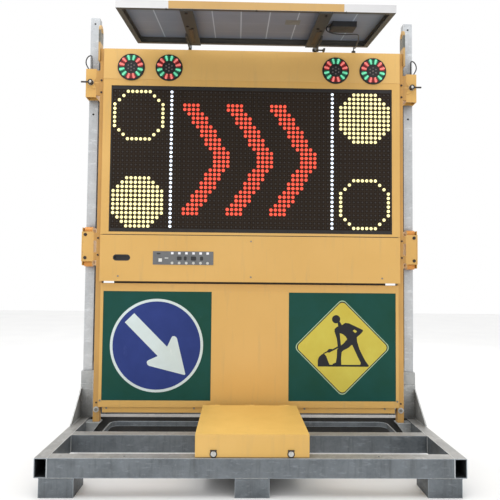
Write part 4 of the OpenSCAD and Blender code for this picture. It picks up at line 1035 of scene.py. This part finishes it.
def lamp_hearts(shape):
    """Six dark spots and a middle one in the dead centre of each lamp."""
    heart_y = lamps_low.y + 0.003
    for x in LAMP_XS:
        dome(shape, x, heart_y, LAMP_Z, 0.006, 0.003)
        for k in range(6):
            turn = math.pi * k / 3 + math.pi / 6
            dome(shape, x + HEART_REACH * math.cos(turn), heart_y,
                 LAMP_Z + HEART_REACH * math.sin(turn), 0.005, 0.003)


SPOT_GREY = moulded("spot_grey", (0.16, 0.13, 0.13), 0.4)
merged("lamp_hearts", lamp_hearts, "board", SPOT_GREY, True)


def tube_ring(shape, x, y, z, radius, thick, count=56, around=6):
    """A thin round ring that faces the viewer."""
    rings = []
    for k in range(count):
        turn = 2 * math.pi * k / count
        ring = []
        for j in range(around):
            roll = 2 * math.pi * j / around
            reach = radius + thick * math.cos(roll)
            ring.append(shape.verts.new((x + reach * math.cos(turn), y + thick * math.sin(roll),
                                         z + reach * math.sin(turn))))
        rings.append(ring)
    for k in range(count):
        for j in range(around):
            shape.faces.new((rings[k][j], rings[k][(j + 1) % around],
                             rings[(k + 1) % count][(j + 1) % around], rings[(k + 1) % count][j]))


def lamp_rims(shape):
    for x in LAMP_XS:
        tube_ring(shape, x, lamps_low.y + 0.006, LAMP_Z, 0.0862, 0.0022)


merged("lamp_rims", lamp_rims, "board", LAMP_BLACK, True)
print("lamps at z", LAMP_Z)

# %% [markdown]
# ## Control box details
# The keypad has four blank dark pads between its lamps and keys, a small dash that marks the
# power key, and a dark sensor window. A dark strip over the seam above the box and a dark block
# in the slit below it, short of both ends, where daylight shows through, are painted shade: they
# stand in for the shade in that seam and that slit.

# %% Detail the control box
def brick(shape, low, high, edge):
    """A block with its edges cut back by a small bevel."""
    made = bmesh.ops.create_cube(shape, size=1)["verts"]
    for v in made:
        v.co = Vector([low[i] if v.co[i] < 0 else high[i] for i in range(3)])
    lines = list({e for v in made for e in v.link_edges})
    bmesh.ops.bevel(shape, geom=lines, offset=edge, segments=2, affect="EDGES", profile=0.6)


key_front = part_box("keypad_plate")[0].y
box_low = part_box("control_box")[0]
sign_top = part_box("sign_frame")[1].z
PAD_Z = 1.243
PADS = ((-0.4605, 0.030, 0.024), (-0.4225, 0.018, 0.026), (-0.3695, 0.034, 0.026), (-0.3175, 0.020, 0.026))
INDICATOR_WHITE = glowing("indicator_white", (0.86, 0.86, 0.90), 0.25)
dress(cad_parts["indicator_lamps"], INDICATOR_WHITE)


def keypad_pads(shape):
    for x, wide, tall in PADS:
        outline = rounded_box(x - wide / 2, x + wide / 2, PAD_Z - tall / 2, PAD_Z + tall / 2, 0.006)
        cut(shape, outline, key_front - 0.0008, 0.0008)
    cut(shape, rounded_box(-0.606, -0.582, 1.268, 1.277, 0.003), key_front - 0.0006, 0.0006)


def keypad_dash(shape):
    cut(shape, rounded_box(-0.554, -0.531, 1.242, 1.247, 0.002), key_front - 0.0006, 0.0006)


merged("keypad_pads", keypad_pads, "board", DARK_PLASTIC)
merged("keypad_dash", keypad_dash, "board", BUTTON_WHITE)


# Two dark pieces stand in for shade: a strip over the seam above the box and a block in the slit below it.
def shade_strips(shape):
    brick(shape, (-0.955, box_low.y - 0.0015, 1.3885), (0.955, box_low.y + 0.004, 1.3955), 0.001)
    brick(shape, (-0.885, -0.135, sign_top), (0.885, -0.080, box_low.z), 0.002)


# The colour of the painted shade in the seam and the slit.
SEAM_SHADE_DARK = moulded("seam_shade_dark", (0.030, 0.020, 0.010), 0.7)
merged("box_shade_strips", shade_strips, "board", SEAM_SHADE_DARK)
print("keypad face at y", round(key_front, 4))

# %% [markdown]
# ## Welds and fastenings of the base
# A hot-dip base is welded first and dipped after, so its seams are soft, wavy ridges under
# zinc. Each ridge here is a thin tube whose radius swells and shrinks every few millimetres,
# half sunk in the joint. A bump map would be cheaper, but it would not break the outline.

# %% Lay the weld beads
def weld(shape, start, end, radius=0.0035, pitch=0.0045, around=6):
    """A closed wavy tube from start to end, one swell to each pitch."""
    start, end = Vector(start), Vector(end)
    along = (end - start).normalized()
    side = along.cross(Vector((0.3, 0.5, 0.81))).normalized()
    up = along.cross(side)
    count = max(3, int((end - start).length / pitch) * 2)
    rings = []
    for k in range(count + 1):
        swell = radius * (1.0 if k % 2 else 0.74) * (0.35 if k in (0, count) else 1.0)
        middle = start.lerp(end, k / count)
        rings.append([shape.verts.new(middle + side * swell * math.cos(2 * math.pi * j / around)
                                      + up * swell * math.sin(2 * math.pi * j / around))
                      for j in range(around)])
    for low, high in zip(rings, rings[1:]):
        for j in range(around):
            shape.faces.new((low[j], low[(j + 1) % around], high[(j + 1) % around], high[j]))
    shape.faces.new(rings[0][::-1])
    shape.faces.new(rings[-1])


rail_low, rail_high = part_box("side_rails")
front_low, front_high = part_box("front_rail")
RAIL_IN = front_high.x
RAIL_SPANS = [(front_low.y, front_high.y), (-0.4625, -0.3875), (-0.0375, 0.0375), (0.3875, 0.4625),
              (0.805, 0.880)]
FOOT_XS, FOOT_END_Y, FOOT_SEAM = (-0.997, 0.0, 0.997), 0.878, 0.084


def base_welds(shape):
    """Seams up and over each joint of the rails, and one along each foot."""
    for side in (-1, 1):
        x = side * RAIL_IN
        for low, high in RAIL_SPANS:
            for y in (low, high):
                if abs(y) < rail_high.y - 0.001:
                    weld(shape, (x, y, rail_low.z + 0.004), (x, y, rail_high.z - 0.002))
            weld(shape, (x, low + 0.002, rail_high.z), (x, high - 0.002, rail_high.z), 0.0022)
        for end in (-1, 1):
            y = end * rail_high.y
            weld(shape, (x, y, rail_low.z + 0.003), (x, y, rail_high.z - 0.003), 0.0020)
        for middle in FOOT_XS:
            for end in (-1, 1):
                y = end * FOOT_END_Y
                weld(shape, (middle - FOOT_SEAM, y, rail_low.z), (middle + FOOT_SEAM, y, rail_low.z), 0.0032)


GUSSET_X, GUSSET_FOOT_Z = 1.101, 0.2005
GUSSET_STITCHES = ((0.232, 0.252), (0.286, 0.306), (0.338, 0.356), (0.374, 0.386))
COLLAR_Z, COLLAR_HALF = 0.4160, 0.036


def gusset_welds(shape):
    """Short stitches up each gusset, a seam along its foot and one round the top of the socket."""
    for side in (-1, 1):
        x = side * GUSSET_X
        for end in (-1, 1):
            for low, high in GUSSET_STITCHES:
                weld(shape, (x, end * 0.0405, low), (x, end * 0.0405, high), 0.0050)
            weld(shape, (x, end * 0.050, GUSSET_FOOT_Z), (x, end * 0.258, GUSSET_FOOT_Z), 0.0034)
        for end in (-1, 1):
            y = end * 0.0435
            weld(shape, (side * MAST_X - COLLAR_HALF, y, COLLAR_Z),
                 (side * MAST_X + COLLAR_HALF, y, COLLAR_Z), 0.0022)


merged("base_welds", base_welds, "base", ZINC_SOCKET, True)
merged("gusset_welds", gusset_welds, "base", ZINC_SOCKET, True)
print("base welds at x", round(RAIL_IN, 4))

# %% [markdown]
# ### Washers, bolts and collars
# Two bright washers sit under the sign's lower corner bolts, dark bolts hold the slides to
# the posts, and a dark collar frames each lid latch. They are small, but they are what the
# eye finds first on a plain sheet-metal face.

# %% Fit the washers and collars
post_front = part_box("board_posts")[0].y
lid_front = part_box("battery_cover")[0].y
POST_BOLT_X = 0.9935
LATCH_X = 0.200
CLAMP_Z = 2.406


def hexagon(radius, turn):
    """A hexagonal outline about zero, turned as a spanner left it."""
    return [(radius * math.cos(math.pi * k / 3 + turn), radius * math.sin(math.pi * k / 3 + turn))
            for k in range(6)]


def corner_washers(shape):
    for side in (-1, 1):
        cut(shape, shifted(disc(0.0185, 32), side * 0.983, 0.271), post_front - 0.0022, 0.0022)


def slide_bolts(shape):
    for side in (-1, 1):
        for heights, radius, turn in (((2.412, 2.332), 0.0065, 0.3), ((1.372, 1.262), 0.0060, 0.2)):
            for z in heights:
                cut(shape, shifted(hexagon(radius, turn), side * POST_BOLT_X, z), post_front - 0.005, 0.005)
        cut(shape, shifted(disc(0.0055, 16), side * 0.9830, 0.315), post_front - 0.0025, 0.0025)


def latch_collars(shape):
    for side in (-1, 1):
        x = side * LATCH_X
        tube_ring(shape, x, lid_front - 0.0010, 0.2185, 0.0165, 0.0026, 32, 6)
        brick(shape, (x - 0.017, lid_front - 0.0060, 0.2330), (x + 0.017, lid_front, 0.2400), 0.0012)


for side, body in ((-1, "left_clamp"), (1, "right_clamp")):
    clamp_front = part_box(f"{body}_screw")[0].y
    merged(f"{body}_cap",
           lambda shape: dome(shape, side * MAST_X, clamp_front + 0.0002, CLAMP_Z, 0.0095, 0.004, 12),
           body, BOLT_ZINC, True)
merged("corner_washers", corner_washers, "board", BOLT_ZINC)
merged("slide_bolts", slide_bolts, "board", BLACKENED)
merged("latch_collars", latch_collars, "battery_cover", BLACKENED, True)
print("posts start at y", round(post_front, 4))

# %% [markdown]
# ## Under the solar panel
# The panel leans, so everything under it is placed from two small functions that give the
# heights of the back sheet and of the arms at a depth y. A blank pale label, dark plugs in the front lip and
# the bolts and straps of both arms go there, and all of them ride on the panel.

# %% Fit out the underside of the panel
sheet_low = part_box("solar_laminate")[0]
arms_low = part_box("solar_arms")[0]
ARM_XS = (-0.375, 0.375)
ARM_BOLTS = ((-0.865, 0.0), (-0.640, -0.012), (-0.600, 0.012), (-0.330, 0.0))  # y, and x from the arm


def sheet_height(y):
    """The height of the back sheet at that depth."""
    return sheet_low.z + (y - sheet_low.y) * math.tan(PANEL_TILT)


def arm_height(y):
    """The height of the underside of an arm at that depth."""
    return arms_low.z + (y - arms_low.y) * math.tan(PANEL_TILT)


def leaning_plate(shape, x_low, x_high, y_low, y_high, height, thick):
    """A thin plate that hangs under the leaning panel, with its edges cut back."""
    before = set(shape.verts)
    brick(shape, (x_low, y_low, -thick), (x_high, y_high, 0.0), thick * 0.3)
    for v in shape.verts:
        if v not in before:
            v.co.z += height(v.co.y)


def panel_label(shape):
    leaning_plate(shape, 0.176, 0.262, -0.655, -0.572, sheet_height, 0.0006)


def stud(shape, x, y, height, radius, tall, sides=6):
    """A bolt head that points down."""
    top = [shape.verts.new((x + a, y + b, height)) for a, b in disc(radius, sides)]
    low = [shape.verts.new((v.co.x * 0.94 + x * 0.06, v.co.y * 0.94 + y * 0.06, height - tall)) for v in top]
    made = [shape.faces.new(top), shape.faces.new(low[::-1])]
    for k in range(sides):
        n = (k + 1) % sides
        made.append(shape.faces.new((top[k], low[k], low[n], top[n])))
    bmesh.ops.recalc_face_normals(shape, faces=made)


def arm_bolts(shape):
    for middle in ARM_XS:
        for y, shift in ARM_BOLTS:
            stud(shape, middle + shift, y, arm_height(y) + 0.001, 0.0085, 0.006)


def arm_straps(shape):
    for middle in ARM_XS:
        leaning_plate(shape, middle - 0.012, middle + 0.012, -0.585, -0.330, arm_height, 0.003)


def lip_plugs(shape):
    lip = FRAME_LOW.y + 0.012
    for x in (-0.475, 0.0, 0.475):
        stud(shape, x, lip, FRAME_LOW.z + 0.003, 0.0075, 0.005, 12)


LABEL_PALE = moulded("label_pale", (0.150, 0.160, 0.155), 0.5, 0.1)
RUSTY_STRAP = coated("rusty_strap", (0.075, 0.045, 0.022), (0.045, 0.028, 0.016), 0.6, 0.7,
                     (0.13, 0.075, 0.03), gap_shade=0.2)
merged("panel_label", panel_label, "solar_panel", LABEL_PALE)
merged("arm_bolts", arm_bolts, "solar_panel", BLACKENED)
merged("arm_straps", arm_straps, "solar_panel", RUSTY_STRAP)
merged("lip_plugs", lip_plugs, "solar_panel", DARK_PLASTIC)
print("sheet height at its middle", round(sheet_height(-0.58), 4))

# %% [markdown]
# ## Last check of size
# How far the finished object's box reaches past the CAD frame's box, below and above, is
# printed in millimetres before the script ends. The looks may not make the object bigger
# than its CAD frame.

# %% Write the sizes and finish
bpy.context.view_layer.update()
seen_low, seen_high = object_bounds()
grown = [round(1000 * v, 1) for v in (*(cad_low - seen_low), *(seen_high - cad_high))]
print("grown in mm below", grown[:3], "and above", grown[3:])
